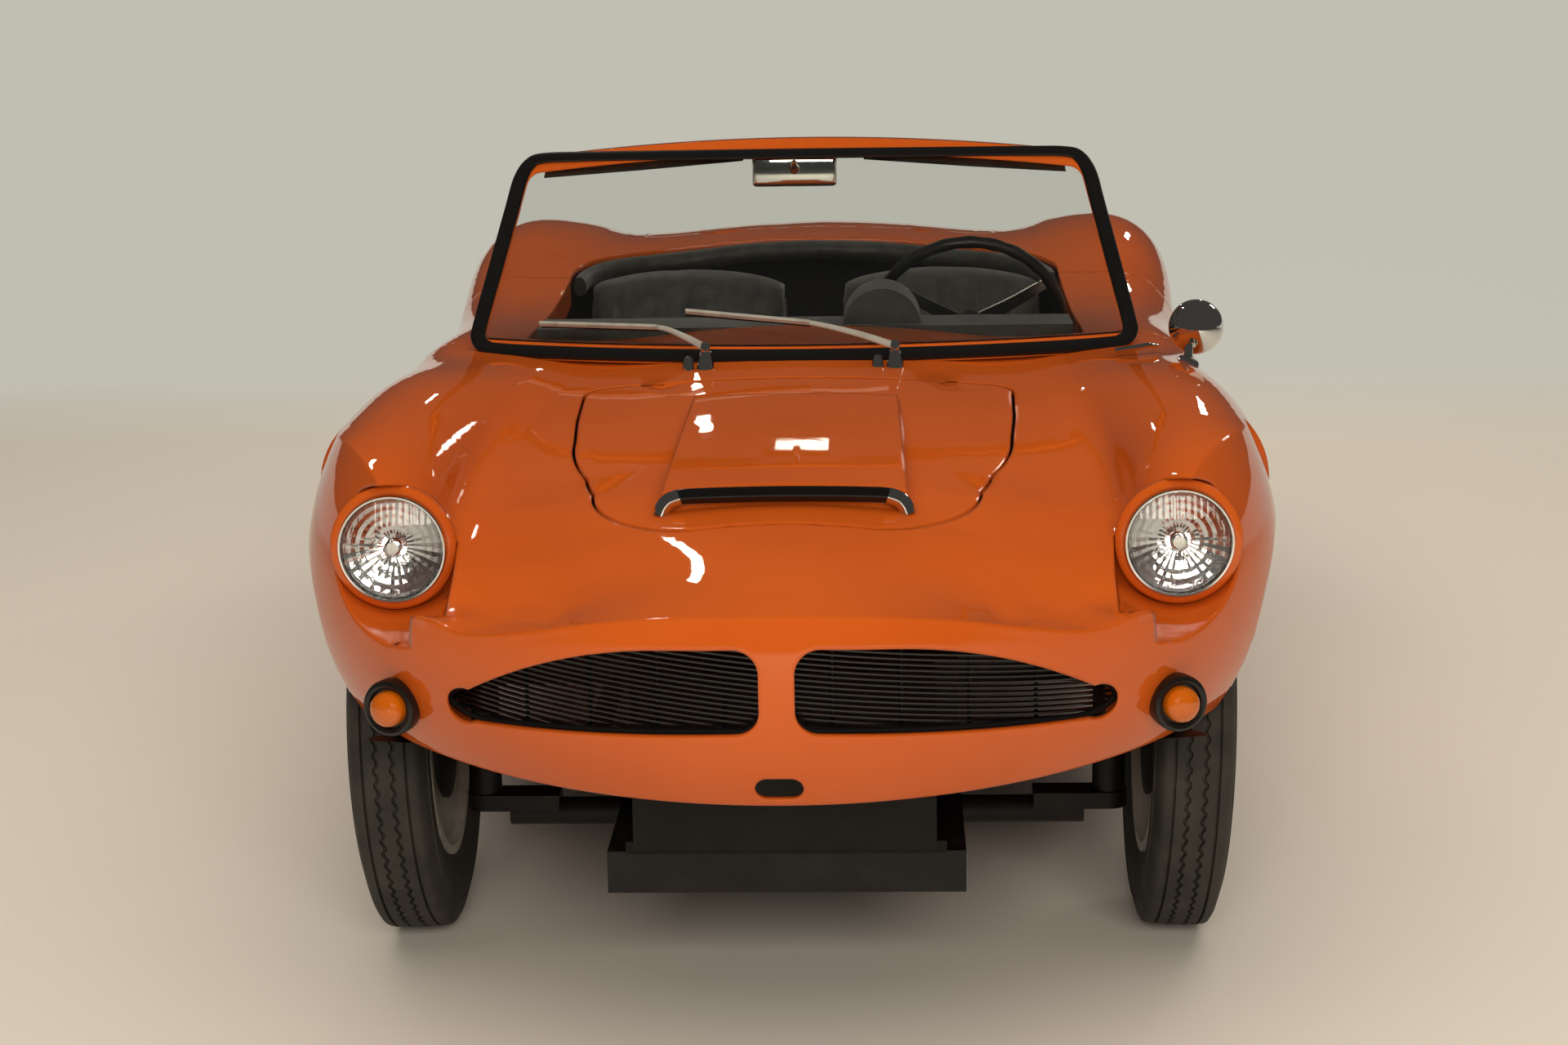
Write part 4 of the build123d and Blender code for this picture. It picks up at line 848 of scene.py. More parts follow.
def make_headlamps():
    """Small lamps deep in their painted wells, with a faceted reflector behind a fluted glass."""
    places = [axis_place((side * lamp_x, lamp_face_y, lamp_z), (0, -1, 0)) for side in (1, -1)]
    new_piece("headlamp_glasses", at_each(places, lathe(GLASS_DOME + GLASS_BACK, 72)), "lamp_glass",
              replaces=["headlamp_lenses"])
    new_piece("headlamp_reflectors", at_each(places, reflector_bowl()), "aluminised_reflector",
              replaces=["headlamp_bowls"], sharp_deg=3.0)
    new_piece("headlamp_rims", at_each(places, lathe(LAMP_RIM, 72, True)), "bright_chrome")
    new_piece("headlamp_wells", at_each(places, lathe(LAMP_WELL, 72, True)), "orange_body_enamel")
    bulbs = at_each(places, lathe(BULB, 24), lathe(BULB_SHADE, 24))
    new_piece("headlamp_bulbs", bulbs, "bright_chrome")


# Front indicators: where they stand on the nose, which way they face, and their base and lens as turned
indicator_x = 0.550
indicator_z = 0.489
indicator_turn = radians(20)
indicator_let_in = 0.004
indicator_stand = 0.012
INDICATOR_BASE = [
    (0.0, -0.030), (0.0300, -0.030), (0.0405, -0.014), (0.0410, 0.0040), (0.0390, 0.0095),
    (0.0350, 0.0115), (0.0305, 0.0095), (0.0285, 0.0040), (0.0, 0.0030),
]
INDICATOR_LENS = [
    (0.0, 0.0270), (0.0110, 0.0262), (0.0190, 0.0235), (0.0238, 0.0190), (0.0255, 0.0130),
    (0.0262, 0.0035), (0.0, 0.0035),
]


def make_indicators():
    """Round lamps that face nearly ahead, on rubber bases cut to the slope of the nose."""
    places = []
    for side in (1, -1):
        out = Vector((side * sin(indicator_turn), -cos(indicator_turn), 0))
        y = nose_y(indicator_x, nose_radius - indicator_let_in)
        seat = Vector((side * indicator_x, y, indicator_z))
        places.append(axis_place(seat + out * indicator_stand, out, (0, 0, 1)))
    new_piece("indicator_bases", at_each(places, lathe(INDICATOR_BASE, 48)), "seal_rubber",
              replaces=["front_indicators"])
    new_piece("indicator_lenses", at_each(places, lathe(INDICATOR_LENS, 48)), "amber_lens")


# Tail lamp rim: how far outside the lamp's radius, and height on the body
TAIL_RIM = [
    (-0.001, -0.030), (-0.001, 0.006), (0.002, 0.0095), (0.006, 0.007), (0.009, -0.001), (0.009, -0.030),
]


def make_tail_lamp_rims():
    """Bright rims round the tail lamps."""
    rims = []
    for x, z, radius in TAIL_LAMPS:
        rim = lathe([(radius + wider, height) for wider, height in TAIL_RIM], 64, True)
        rims.append(at_each([tail_place(side * x, z) for side in (1, -1)], rim))
    new_piece("tail_lamp_rims", merged(*rims), "bright_chrome")


# The windscreen's seal from the middle of its foot to the middle of its top: x, z and how thick it looks
SEAL_LINE = [
    (0.0, 0.8215, 1.12), (0.200, 0.8213, 1.12), (0.400, 0.8210, 1.12), (0.540, 0.8212, 1.12),
    (0.574, 0.8250, 1.12), (0.588, 0.8380, 1.12), (0.5860, 0.8600, 1.12), (0.5640, 0.9550, 1.12),
    (0.5405, 1.0550, 1.12), (0.5285, 1.1050, 1.12), (0.5120, 1.1320, 1.05), (0.4850, 1.1425, 0.95),
    (0.400, 1.1460, 0.90), (0.200, 1.1490, 0.90), (0.0, 1.1502, 0.90),
]
seal_half_width = 0.0125
seal_flatness = 0.496
seal_front = 0.0025
seal_up = (0, -0.72, 0.69)
seal_span = 6

# Bright trim at the foot of the left screen pillar: x, and how far behind and above the body at its start
FOOT_TRIM = [(0.548, -0.004, 0.008), (0.580, 0.0, 0.012), (0.606, 0.014, 0.014), (0.622, 0.036, 0.010)]


def make_windscreen_seal():
    """A rubber seal round the windscreen, and the bright trim at its left foot."""
    half = [(screen_point(x, z, seal_front), scale) for x, z, scale in SEAL_LINE]
    ring = half + [(Vector((-p.x, p.y, p.z)), scale) for p, scale in reversed(half[1:-1])]
    path = smooth_path([p for p, _ in ring], seal_span, closed=True)
    scales = []
    for (_, scale), (_, after) in zip(ring, ring[1:] + ring[:1]):
        scales += [scale + (after - scale) * n / seal_span for n in range(seal_span)]
    seal = sweep(path, disc(seal_half_width, 14, seal_flatness), up=seal_up, closed=True, scales=scales)
    new_piece("windscreen_seal", seal, "seal_rubber")
    foot, _ = hit(surface_of("body_front"), (0.600, -0.655, above_z), DOWN)
    strip = smooth_path([(x, foot.y + behind, foot.z + above) for x, behind, above in FOOT_TRIM], 6)
    new_piece("windscreen_foot_trim", sweep(strip, disc(0.0075, 12, 0.6)), "bright_chrome")


# Wipers: spindle x and y, elbow x and z, tip x and z
WIPERS = [
    (-0.165, -0.690, -0.250, 0.868, -0.470, 0.868),
    (0.165, -0.690, 0.020, 0.875, -0.205, 0.893),
]
WIPER_SPINDLE = [
    (0.0, 0.046), (0.006, 0.045), (0.0085, 0.040), (0.0085, 0.030), (0.011, 0.028), (0.012, 0.016),
    (0.0145, 0.008), (0.016, -0.006), (0.0, -0.006),
]
WIPER_NUT = [(0.0, 0.022), (0.006, 0.020), (0.0095, 0.012), (0.0105, -0.006), (0.0, -0.006)]
WIPER_HOLDER = [(-0.0042, -0.001), (0.0042, -0.001), (0.0030, 0.0055), (-0.0030, 0.0055)]
WIPER_RUBBER = [(-0.0022, -0.001), (0.0022, -0.001), (0.0008, -0.010), (-0.0008, -0.010)]
wiper_nut_off = (-0.030, -0.002, 0)
wiper_arm_z = 0.036
elbow_front = 0.026
tip_front = 0.022
glass_up = (0, -0.7, 0.7)


def make_wipers():
    """Two parked wipers: tapered arms with their holders, rubbers, and spindles with a nut beside each."""
    arms, rubbers, spindles = [], [], []
    tree = surface_of("body_front")
    for pivot_x, pivot_y, arm_x, arm_z, tip_x, tip_z in WIPERS:
        foot, _ = hit(tree, (pivot_x, pivot_y, above_z), DOWN)
        place = Matrix.Translation(foot)
        spindles.append(moved(lathe(WIPER_SPINDLE, 24), place))
        spindles.append(moved(lathe(WIPER_NUT, 20), place @ Matrix.Translation(wiper_nut_off)))
        start = foot + Vector((0, 0, wiper_arm_z))
        elbow = screen_point(arm_x, arm_z, elbow_front)
        tip = screen_point(tip_x, tip_z, tip_front)
        sag = start.lerp(elbow, 0.45) + Vector((0, -0.004, 0.004))
        along = smooth_path([start, sag, elbow, elbow.lerp(tip, 0.3)], 6)
        scales = [1.25 - 0.65 * k / (len(along) - 1) for k in range(len(along))]
        arms.append(sweep(along, disc(0.0062, 12, 0.55), up=glass_up, scales=scales))
        line = [elbow.lerp(tip, 0.02), elbow.lerp(tip, 1.0)]
        arms.append(sweep(line, WIPER_HOLDER, up=glass_up))
        rubbers.append(sweep(line, WIPER_RUBBER, up=glass_up))
    # The arms take the pale silver wheel enamel: its light colour stands in for the bright reflections on the
    # metal arms, a painted reflection
    new_piece("wiper_arms", merged(*arms), "silver_wheel_enamel", replaces=["wipers"])
    new_piece("wiper_blades", merged(*rubbers), "seal_rubber")
    new_piece("wiper_spindles", merged(*spindles), "bright_chrome")


# Interior mirror: middle of its case, its ball and its stem, with the sizes of case and glass
MIRROR_BALL = [(0.0, 0.010), (0.007, 0.007), (0.010, 0.0), (0.007, -0.007), (0.0, -0.010)]
mirror_middle = Vector((-0.018, -0.271, 1.112))
mirror_case = (0.158, 0.018, 0.058)
mirror_glass = (0.146, 0.002, 0.047)
mirror_glass_behind = 0.0095


def make_interior_mirror():
    """A bright mirror hung from the windscreen's top."""
    x = mirror_middle.x
    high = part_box("interior_mirror")[1]
    case = rounded_box(mirror_case, 0.0085, 4, mirror_middle)
    line = smooth_path([(x, -0.285, 1.118), (x, -0.292, 1.132), (x, -0.290, high[2])], 6)
    stem = sweep(line, disc(0.0055, 12))
    ball = moved(lathe(MIRROR_BALL, 20), Matrix.Translation((x, -0.284, 1.116)))
    new_piece("interior_mirror_case", merged(case, stem, ball), "bright_chrome",
              replaces=["interior_mirror"])
    glass = rounded_box(mirror_glass, 0.0009, 1, mirror_middle + Vector((0, mirror_glass_behind, 0)))
    new_piece("interior_mirror_glass", glass, "mirror_glass")


# Sun visors: outline in front view, and where their two faces lie behind the glass
VISOR = [(0.105, 1.1460), (0.300, 1.1400), (0.482, 1.1290), (0.486, 1.1040), (0.300, 1.1190), (0.112, 1.1345)]
VISOR_FACES = (-0.030, -0.039)


def make_sun_visors():
    """Two visors folded up under the windscreen's top."""
    blades = [skin([[screen_point(side * x, z, front) for x, z in VISOR] for front in VISOR_FACES])
              for side in (1, -1)]
    new_piece("sun_visor_blades", merged(*blades), "black_leathercloth",
              replaces=["sun_visors"])


# Wing mirror: its shell, foot and glass as turned, the middle of its glass, and the top of its stalk
MIRROR_SHELL = [
    (0.0445, -0.001), (0.0475, 0.000), (0.0480, 0.006), (0.0470, 0.016), (0.0430, 0.030), (0.0360, 0.042),
    (0.0260, 0.052), (0.0140, 0.0585), (0.0, 0.0605),
    (0.0, 0.0570), (0.0250, 0.0500), (0.0410, 0.0300), (0.0445, 0.0100),
]
MIRROR_FOOT = [(0.0, 0.010), (0.012, 0.009), (0.018, 0.005), (0.022, -0.004), (0.0, -0.004)]
MIRROR_DISC = [(0.0, 0.0015), (0.0446, 0.0015), (0.0446, 0.0), (0.0, 0.0)]
wing_mirror_middle = (0.691, -0.630, 0.864)
stalk_top = (0.684, -0.672, 0.838)
stalk_steps = 16


def make_wing_mirror():
    """A round bright mirror on a short stalk, on the left wing."""
    place = axis_place(wing_mirror_middle, (0, -1, 0))
    head = moved(lathe(MIRROR_SHELL, 64), place)
    foot, out = hit(surface_of("body_front"), (0.672, -0.700, above_z), DOWN)
    base = moved(lathe(MIRROR_FOOT, 32), axis_place(foot, out))
    line = smooth_path([foot, foot + Vector((0.001, 0.006, 0.024)), stalk_top], stalk_steps // 2)
    scales = [1.3 - 0.4 * k / stalk_steps for k in range(stalk_steps + 1)]
    stalk = sweep(line, disc(0.0065, 14), scales=scales)
    new_piece("wing_mirror_shell", merged(head, base, stalk), "bright_chrome",
              replaces=["wing_mirror"])
    new_piece("wing_mirror_glass", moved(lathe(MIRROR_DISC, 48), place), "mirror_glass")


# Tyres: half of the section from bead to shoulder, then the tread as distance from its middle and share
# of the groove's depth
SIDEWALL = [
    (0.187, 0.043), (0.193, 0.0475), (0.200, 0.0480), (0.208, 0.0500), (0.222, 0.0545), (0.240, 0.0585),
    (0.256, 0.0600), (0.270, 0.0592), (0.2705, 0.0602), (0.273, 0.0602), (0.2735, 0.0585), (0.288, 0.0555),
    (0.300, 0.0515), (0.3062, 0.0475), (0.308, 0.044),
]
TREAD_LINE = [
    (0.0350, 0.0), (0.0340, 1.0), (0.0315, 1.0), (0.0305, 0.0), (0.0155, 0.0), (0.0143, 1.0), (0.0108, 1.0),
    (0.0096, 0.0),
]
tread_half_width = 0.044
tread_crown = 0.0015
zigzag_within = 0.020
zigzag_reach = 0.0021
waves_round = 84
steps_per_wave = 4


def tyre_form(groove_depth):
    """A tyre with five ribs: two zig-zag grooves in the middle and two straight ones outside."""
    rings = []
    steps = waves_round * steps_per_wave
    for k in range(steps):
        turn = 2 * pi * k / steps
        zigzag = zigzag_reach * (1 if k % steps_per_wave < steps_per_wave / 2 else -1)
        tread = []
        for across, cut in TREAD_LINE:
            radius = tyre_radius - tread_crown * (across / tread_half_width) ** 2 - groove_depth * cut
            tread.append((radius, across, zigzag if across < zigzag_within else 0.0))
        line = SIDEWALL + [(r, a + wave) for r, a, wave in tread] + [(tyre_radius, 0.0)]
        line += [(r, wave - a) for r, a, wave in reversed(tread)] + [(r, -a) for r, a in reversed(SIDEWALL)]
        rings.append([(r * cos(turn), r * sin(turn), a) for r, a in line])
    return skin(rings, closed_path=True, cap=False)


def make_tyres():
    """Four treaded tyres."""
    form = tyre_form(bpy.context.scene.roadster_sizes.groove_depth)
    for name, side, (x, z), y, lean in WHEELS:
        place = axis_place((side * x, y, z), (side * cos(lean), 0, -sin(lean)), (0, 0, 1))
        new_piece(f"tyre_{name}_treaded", moved(form, place), "tyre_rubber", "wheel_" + name,
                  ["tyre_" + name], sharp_deg=50.0)


# Seat pads: places of the seams across, their pinch, and the roundness of a pad's face and edges
SEAMS = (-0.145, -0.0725, 0.0, 0.0725, 0.145)
seam_reach = 0.010
seam_depth = 0.0075
pad_crown = 0.35
pad_edge = 0.012
pad_back = 0.010
pad_columns = 56
pad_rows = 36


def pad(width, height, thick, round_top=0.0):
    """A padded panel in X and Z, its soft face towards -Y, pinched at its seams."""
    front, rear = [], []
    for j in range(pad_rows + 1):
        v = j / pad_rows
        edge_v = 2 * v - 1
        front_row, rear_row = [], []
        for i in range(pad_columns + 1):
            u = -1 + 2 * i / pad_columns
            bend = round_top * width / 2 * (1 - sqrt(1 - u * u * 0.92)) * v
            edge = (1 - u ** 8) * (1 - edge_v ** 8)
            full = thick * (1 - pad_crown + pad_crown * (1 - u * u) * (1 - edge_v ** 2)) * edge ** 0.45
            pinch = sum(max(0.0, 1 - abs(u * width / 2 - seam) / seam_reach) ** 2 for seam in SEAMS)
            x = u * (width / 2 - pad_edge * (1 - edge ** 0.5))
            z = v * height - bend
            front_row.append((x, -full + seam_depth * pinch * edge, z))
            rear_row.append((x, pad_back * (1 - u ** 4), z))
        front.append(front_row)
        rear.append(rear_row[::-1])
    return merged(skin(front, closed_ring=False, cap=False), skin(rear, closed_ring=False, cap=False))


# Seats: name and side, place of their pads, boxes and piping
SEATS = [("left", 1), ("right", -1)]
seat_x = 0.268
seat_top_z = 0.372
cushion_turn = Matrix.Rotation(radians(-85), 4, "X")
back_turn = Matrix.Rotation(radians(-13), 4, "X")
cushion_size = (0.430, 0.375)
back_size = (0.432, 0.455)
back_round_top = 0.22
box_size = (0.420, 0.372, 0.082)
shell_size = (0.416, 0.026, 0.400)
shell_bevel = 0.012


def make_seats():
    """Two seats: ribbed pads on a box and a back shell, with piping along the cushion."""
    sizes = bpy.context.scene.roadster_sizes
    for name, side in SEATS:
        x = side * seat_x
        cushion = moved(pad(*cushion_size, sizes.cushion_depth),
                        Matrix.Translation((x, -0.118, seat_top_z)) @ cushion_turn)
        back = moved(pad(*back_size, sizes.backrest_depth, back_round_top),
                     Matrix.Translation((x, 0.352, 0.400)) @ back_turn)
        piece = new_piece(f"seat_{name}_pads", merged(cushion, back), "black_leathercloth",
                          replaces=[f"seat_{name}"], sharp_deg=80.0)
        box = rounded_box(box_size, shell_bevel, centre=(x, 0.072, 0.3275))
        shell = moved(rounded_box(shell_size, shell_bevel), Matrix.Translation((x, 0.408, 0.590)) @ back_turn)
        new_piece(f"seat_{name}_shell", merged(box, shell), "black_leathercloth")
        edges = [x + u * 0.2085 for u in (-1, 1)]
        piping = [rod((edge, -0.108, seat_top_z), (edge, 0.262, seat_top_z), 0.004, 8) for edge in edges]
        new_piece(f"seat_{name}_piping", merged(*piping), "seal_rubber")


# Steering wheel: grip, its finger waves, boss as turned, and spokes
WHEEL_BOSS = [
    (0.0, -0.004), (0.020, -0.005), (0.032, -0.010), (0.036, -0.016), (0.034, -0.046), (0.0, -0.046),
]
grip_thick = 0.0115
grip_wave = 0.0008
grip_waves = 24
grip_steps = 96
SPOKES_DEG = (90.0, 210.0, 330.0)
SPOKE_SECTION = [(-0.013, -0.0015), (0.013, -0.0015), (0.013, 0.0015), (-0.013, 0.0015)]
SPOKE_LINE = [(0.024, -0.013), (0.100, -0.011), (0.172, 0.0)]
spoke_steps = 16


def make_steering_wheel():
    """A thin wheel with finger waves, three flat spokes and a round boss."""
    radius = bpy.context.scene.roadster_sizes.wheel_radius
    place = axis_place(wheel_centre, Vector((0, cos(column_tilt), sin(column_tilt))), (1, 0, 0))
    grip = []
    for k in range(grip_steps):
        turn = 2 * pi * k / grip_steps
        thick = grip_thick + grip_wave * cos(grip_waves * turn)
        grip.append([((radius + a) * cos(turn), (radius + a) * sin(turn), b) for a, b in disc(thick, 14)])
    rim = moved(skin(grip, closed_path=True, cap=False), place)
    boss = moved(lathe(WHEEL_BOSS, 40), place)
    new_piece("steering_wheel_rim", merged(rim, boss), "black_moulded_plastic", "steering",
              ["steering_wheel"])
    spokes = []
    for spoke_deg in SPOKES_DEG:
        turn = radians(spoke_deg)
        path = [(r * cos(turn), r * sin(turn), h) for r, h in SPOKE_LINE]
        scales = [1.15 - 0.35 * k / spoke_steps for k in range(spoke_steps + 1)]
        spokes.append(moved(sweep(smooth_path(path, spoke_steps // 2), SPOKE_SECTION, scales=scales), place))
    new_piece("steering_wheel_spokes", merged(*spokes), "satin_stainless", "steering")


# Dials: x, z, radius, and y of the dashboard's face there; then their rims and marks
DIALS = [
    (0.143, 0.862, 0.034, -0.2285), (0.225, 0.795, 0.026, -0.2145), (0.070, 0.795, 0.026, -0.2145),
    (-0.120, 0.795, 0.026, -0.2145),
]
DIAL_RIM = [(-0.001, 0.001), (0.0, 0.005), (0.003, 0.0045), (0.004, -0.003)]
mark_count = 24
mark_from = radians(-135)
mark_span = radians(270)


def make_dials():
    """Round dials with bright rims, painted marks and a needle each."""
    faces, rims, marks = [], [], []
    for x, z, radius, y in DIALS:
        place = axis_place((x, y, z), (0, 1, 0))
        face = [(0.0, 0.001), (radius, 0.001), (radius, -0.004), (0.0, -0.004)]
        rim = [(radius + wider, height) for wider, height in DIAL_RIM]
        faces.append(moved(lathe(face, 48), place))
        rims.append(moved(lathe(rim, 48, True), place))
        for k in range(mark_count + 1):
            turn = mark_from + mark_span * k / mark_count
            inner, thick = (0.82, 0.0006) if k % 4 else (0.72, 0.0010)
            ends = [Vector((share * radius * sin(turn), share * radius * cos(turn), 0.0016))
                    for share in (inner, 0.92)]
            marks.append(moved(rod(*ends, thick, 6), place))
        needle = rod((0, 0, 0.003), (radius * 0.5, -radius * 0.55, 0.003), 0.0008, 6)
        marks.append(moved(needle, place))
    new_piece("dial_faces", merged(*faces), "dial_face")
    new_piece("dial_rims", merged(*rims), "bright_chrome")
    new_piece("dial_marks", merged(*marks), "dial_paint")


# The roll along the cockpit's edge: half of its line, and where the deck beside it is felt for
COCKPIT_EDGE = [
    (0.497, 0.400), (0.486, 0.470), (0.440, 0.545), (0.370, 0.596), (0.270, 0.618), (0.140, 0.624),
    (0.0, 0.625),
]
edge_centre_y = 0.350
deck_beside = 0.045
roll_below = 0.026
roll_radius = 0.0155


def make_cockpit_roll():
    """A covered roll round the rear of the cockpit."""
    tree = surface_of("body_rear", "body_front")
    half = []
    for x, y in COCKPIT_EDGE:
        out = Vector((x, max(y - edge_centre_y, 0.0), 0)).normalized() * deck_beside
        deck, _ = hit(tree, (x + out.x, y + out.y, above_z), DOWN)
        half.append(Vector((x, y, deck.z - roll_below)))
    path = [Vector((-p.x, p.y, p.z)) for p in half[:-1]] + half[::-1]
    roll = sweep(smooth_path(path, 6), disc(roll_radius, 14, 1.35))
    new_piece("cockpit_roll", roll, "black_leathercloth")


# Door cards and their pull straps: x, y and z of the left one, and the strap's section
card_size = (0.007, 0.620, 0.290)
card_place = (0.5075, -0.055, 0.560)
STRAP_LINE = [
    (0.505, 0.060, 0.640), (0.492, 0.075, 0.642), (0.488, 0.120, 0.642), (0.492, 0.165, 0.642),
    (0.505, 0.180, 0.640),
]
STRAP_SECTION = [(-0.002, -0.010), (0.002, -0.010), (0.002, 0.010), (-0.002, 0.010)]


def make_door_cards():
    """A covered card with a pull strap inside each door."""
    for name, side in (("door_left", 1), ("door_right", -1)):
        x, y, z = card_place
        card = rounded_box(card_size, 0.003, 2, (side * x, y, z))
        strap = sweep(smooth_path([(side * x, y, z) for x, y, z in STRAP_LINE], 6), STRAP_SECTION)
        new_piece(name + "_card", merged(card, strap), "black_leathercloth", name)


# Footwell mats: size and the left one's middle
mat_size = (0.400, 0.520, 0.008)
mat_place = (0.262, -0.440, 0.2785)


def make_footwell_mats():
    """A mat in each footwell."""
    x, y, z = mat_place
    mats = [rounded_box(mat_size, 0.0035, 2, (side * x, y, z)) for side in (1, -1)]
    new_piece("footwell_mats", merged(*mats), "charcoal_carpet")


# Kinds of property that the panel shows
COLOUR = {"subtype": "COLOR", "size": 4, "min": 0.0, "max": 1.0}
LENGTH = {"unit": "LENGTH", "min": 0.0, "precision": 4}
ANGLE = {"unit": "ROTATION", "subtype": "ANGLE"}


class RoadsterColours(bpy.types.PropertyGroup):
    """Colours of the car"""
    body: bpy.props.FloatVectorProperty(
        name="Body", description="Body paint", default=linear("#C95A1C"), **COLOUR)
    body_light: bpy.props.FloatVectorProperty(
        name="Body, light", description="Body paint at its lightest", default=linear("#CB5C1D"), **COLOUR)
    body_dark: bpy.props.FloatVectorProperty(
        name="Body, dark", description="Body paint at its darkest", default=linear("#C35618"), **COLOUR)
    wheels: bpy.props.FloatVectorProperty(
        name="Wheels", description="Wheel enamel", default=linear("#B9B6AC"), **COLOUR)


class RoadsterSizes(bpy.types.PropertyGroup):
    """Sizes of pieces that are made here"""
    slat_pitch: bpy.props.FloatProperty(
        name="Slat pitch", description="Height from one grille slat to the next", default=0.0076, **LENGTH)
    slat_tilt: bpy.props.FloatProperty(
        name="Slat tilt", description="How far the grille's slats fall", default=radians(6.5), **ANGLE)
    groove_depth: bpy.props.FloatProperty(
        name="Tread depth", description="Depth of the tyres' grooves", default=0.0065, **LENGTH)
    cushion_depth: bpy.props.FloatProperty(
        name="Cushion", description="Depth of the seat cushions' pads", default=0.085, **LENGTH)
    backrest_depth: bpy.props.FloatProperty(
        name="Backrest", description="Depth of the backrests' pads", default=0.075, **LENGTH)
    wheel_radius: bpy.props.FloatProperty(
        name="Steering wheel", description="Radius of the steering wheel's rim", default=0.180, **LENGTH)


class RoadsterStage(bpy.types.PropertyGroup):
    """Colours of the studio, and the lens"""
    floor: bpy.props.FloatVectorProperty(
        name="Floor", description="Colour of the floor", default=linear("#E9E4DC"), **COLOUR)
    wall: bpy.props.FloatVectorProperty(
        name="Wall", description="Colour far behind", default=linear("#C0BDB1"), **COLOUR)
    lens: bpy.props.FloatProperty(
        name="Lens", description="Focal length of the camera, in mm", default=65.625, unit="CAMERA")


# Floor: how far it reaches, and where along Y it turns into the wall
floor_reach = 240.0
wall_from_y = 3.0
wall_full_y = 4.4


def make_floor():
    """A painted floor that turns into the colour of the wall far behind."""
    stage = bpy.context.scene.roadster_stage
    mesh = bpy.data.meshes.new("floor")
    corners = [(i * floor_reach, j * floor_reach, 0) for i, j in ((-1, -1), (1, -1), (1, 1), (-1, 1))]
    mesh.from_pydata(corners, [], [(0, 1, 2, 3)])
    made, tree, shader = new_material("painted_concrete_floor", stage.floor, 0.6)
    place = add_node(tree, "ShaderNodeTexCoord").outputs["Object"]
    apart = add_node(tree, "ShaderNodeSeparateXYZ", links={"Vector": place})
    blend = add_node(tree, "ShaderNodeMapRange", values={"From Min": wall_from_y, "From Max": wall_full_y},
                     links={"Value": apart.outputs["Y"]})
    colour = add_node(tree, "ShaderNodeMix", settings={"data_type": "RGBA"},
                      values={6: stage.floor, 7: (0, 0, 0, 1)}, links={0: blend.outputs["Result"]})
    tree.links.new(colour.outputs[2], shader.inputs["Base Color"])
    shader.inputs["Emission Color"].default_value = stage.wall
    tree.links.new(blend.outputs["Result"], shader.inputs["Emission Strength"])
    mesh.materials.append(made)
    floor_piece = bpy.data.objects.new("floor", mesh)
    bpy.context.scene.collection.objects.link(floor_piece)


# Lamps: name, place, size along its own X and Y, watts, what it faces, and whether gloss and glass show it
LAMPS = [
    ("overhead", (0.0, -2.0, 5.0), (8.0, 8.0), 240.0, (0.0, -2.0, 0.0), False, False),
    ("overhead_rear", (0.0, 5.5, 4.5), (10.0, 4.0), 200.0, (0.0, 4.5, 0.0), False, False),
    ("front_fill", (0.6, -7.5, 2.8), (4.0, 2.0), 280.0, (0.0, -1.0, 0.4), False, True),
    ("strip", (-1.09, 2.28, 3.52), (0.10, 0.38), 4.0, (-0.13, -1.75, 0.7), True, True),
    ("spot_lid", (-0.98, 8.2, 3.4), (0.10, 0.20), 2.0, (-0.14, -1.13, 0.8), True, True),
    ("spot_left_wing", (2.54, 10.1, 3.4), (0.30, 0.5), 5.0, (-0.5, -1.2, 0.8), True, True),
    ("spot_right_wing", (4.0, 5.4, 3.4), (0.8, 0.9), 25.0, (0.63, -1.47, 0.8), True, True),
]
lamp_hex = "#FFF4E4"
world_hex = "#E6E2D8"
world_strength = 0.07


def make_lights():
    """An even warm studio: soft lamps over and before the car, and small ones for its highlights."""
    scene = bpy.context.scene
    scene.world = bpy.data.worlds.new("studio")
    scene.world.use_nodes = True
    background = scene.world.node_tree.nodes["Background"]
    background.inputs["Color"].default_value = linear(world_hex)
    background.inputs["Strength"].default_value = world_strength
    for name, place, size, power, target, in_gloss, in_glass in LAMPS:
        data = bpy.data.lights.new(name, "AREA")
        data.shape = "RECTANGLE"
        data.size, data.size_y = size
        data.energy = power
        data.color = linear(lamp_hex)[:3]
        lamp = bpy.data.objects.new(name, data)
        lamp.location = place
        aim = Vector(target) - Vector(place)
        lamp.rotation_mode = "QUATERNION"
        lamp.rotation_quaternion = aim.to_track_quat("-Z", "Y")
        lamp.visible_glossy = in_gloss
        lamp.visible_transmission = in_glass
        scene.collection.objects.link(lamp)


# The camera: place, turns and width of its sensor in mm, from fitting the photograph
camera_place = (0.1463, -5.6135, 1.5656)
camera_yaw = radians(-2.08)
camera_pitch = radians(11.85)
camera_roll = radians(-0.9)
sensor_width = 36.0


def make_camera():
    """The camera, placed and turned as the photograph's was."""
    yaw, pitch, roll = camera_yaw, camera_pitch, camera_roll
    ahead = Vector((sin(yaw) * cos(pitch), cos(yaw) * cos(pitch), -sin(pitch)))
    level = Vector((cos(yaw), -sin(yaw), 0.0))
    upright = level.cross(ahead)
    right = level * cos(roll) + upright * sin(roll)
    up = upright * cos(roll) - level * sin(roll)
    data = bpy.data.cameras.new("camera")
    data.lens = bpy.context.scene.roadster_stage.lens
    data.sensor_width = sensor_width
    camera = bpy.data.objects.new("camera", data)
    turn = Matrix((right, up, -ahead)).transposed().to_4x4()
    camera.matrix_world = Matrix.Translation(camera_place) @ turn
    bpy.context.scene.collection.objects.link(camera)
    bpy.context.scene.camera = camera
    bpy.context.scene.view_settings.view_transform = "Standard"


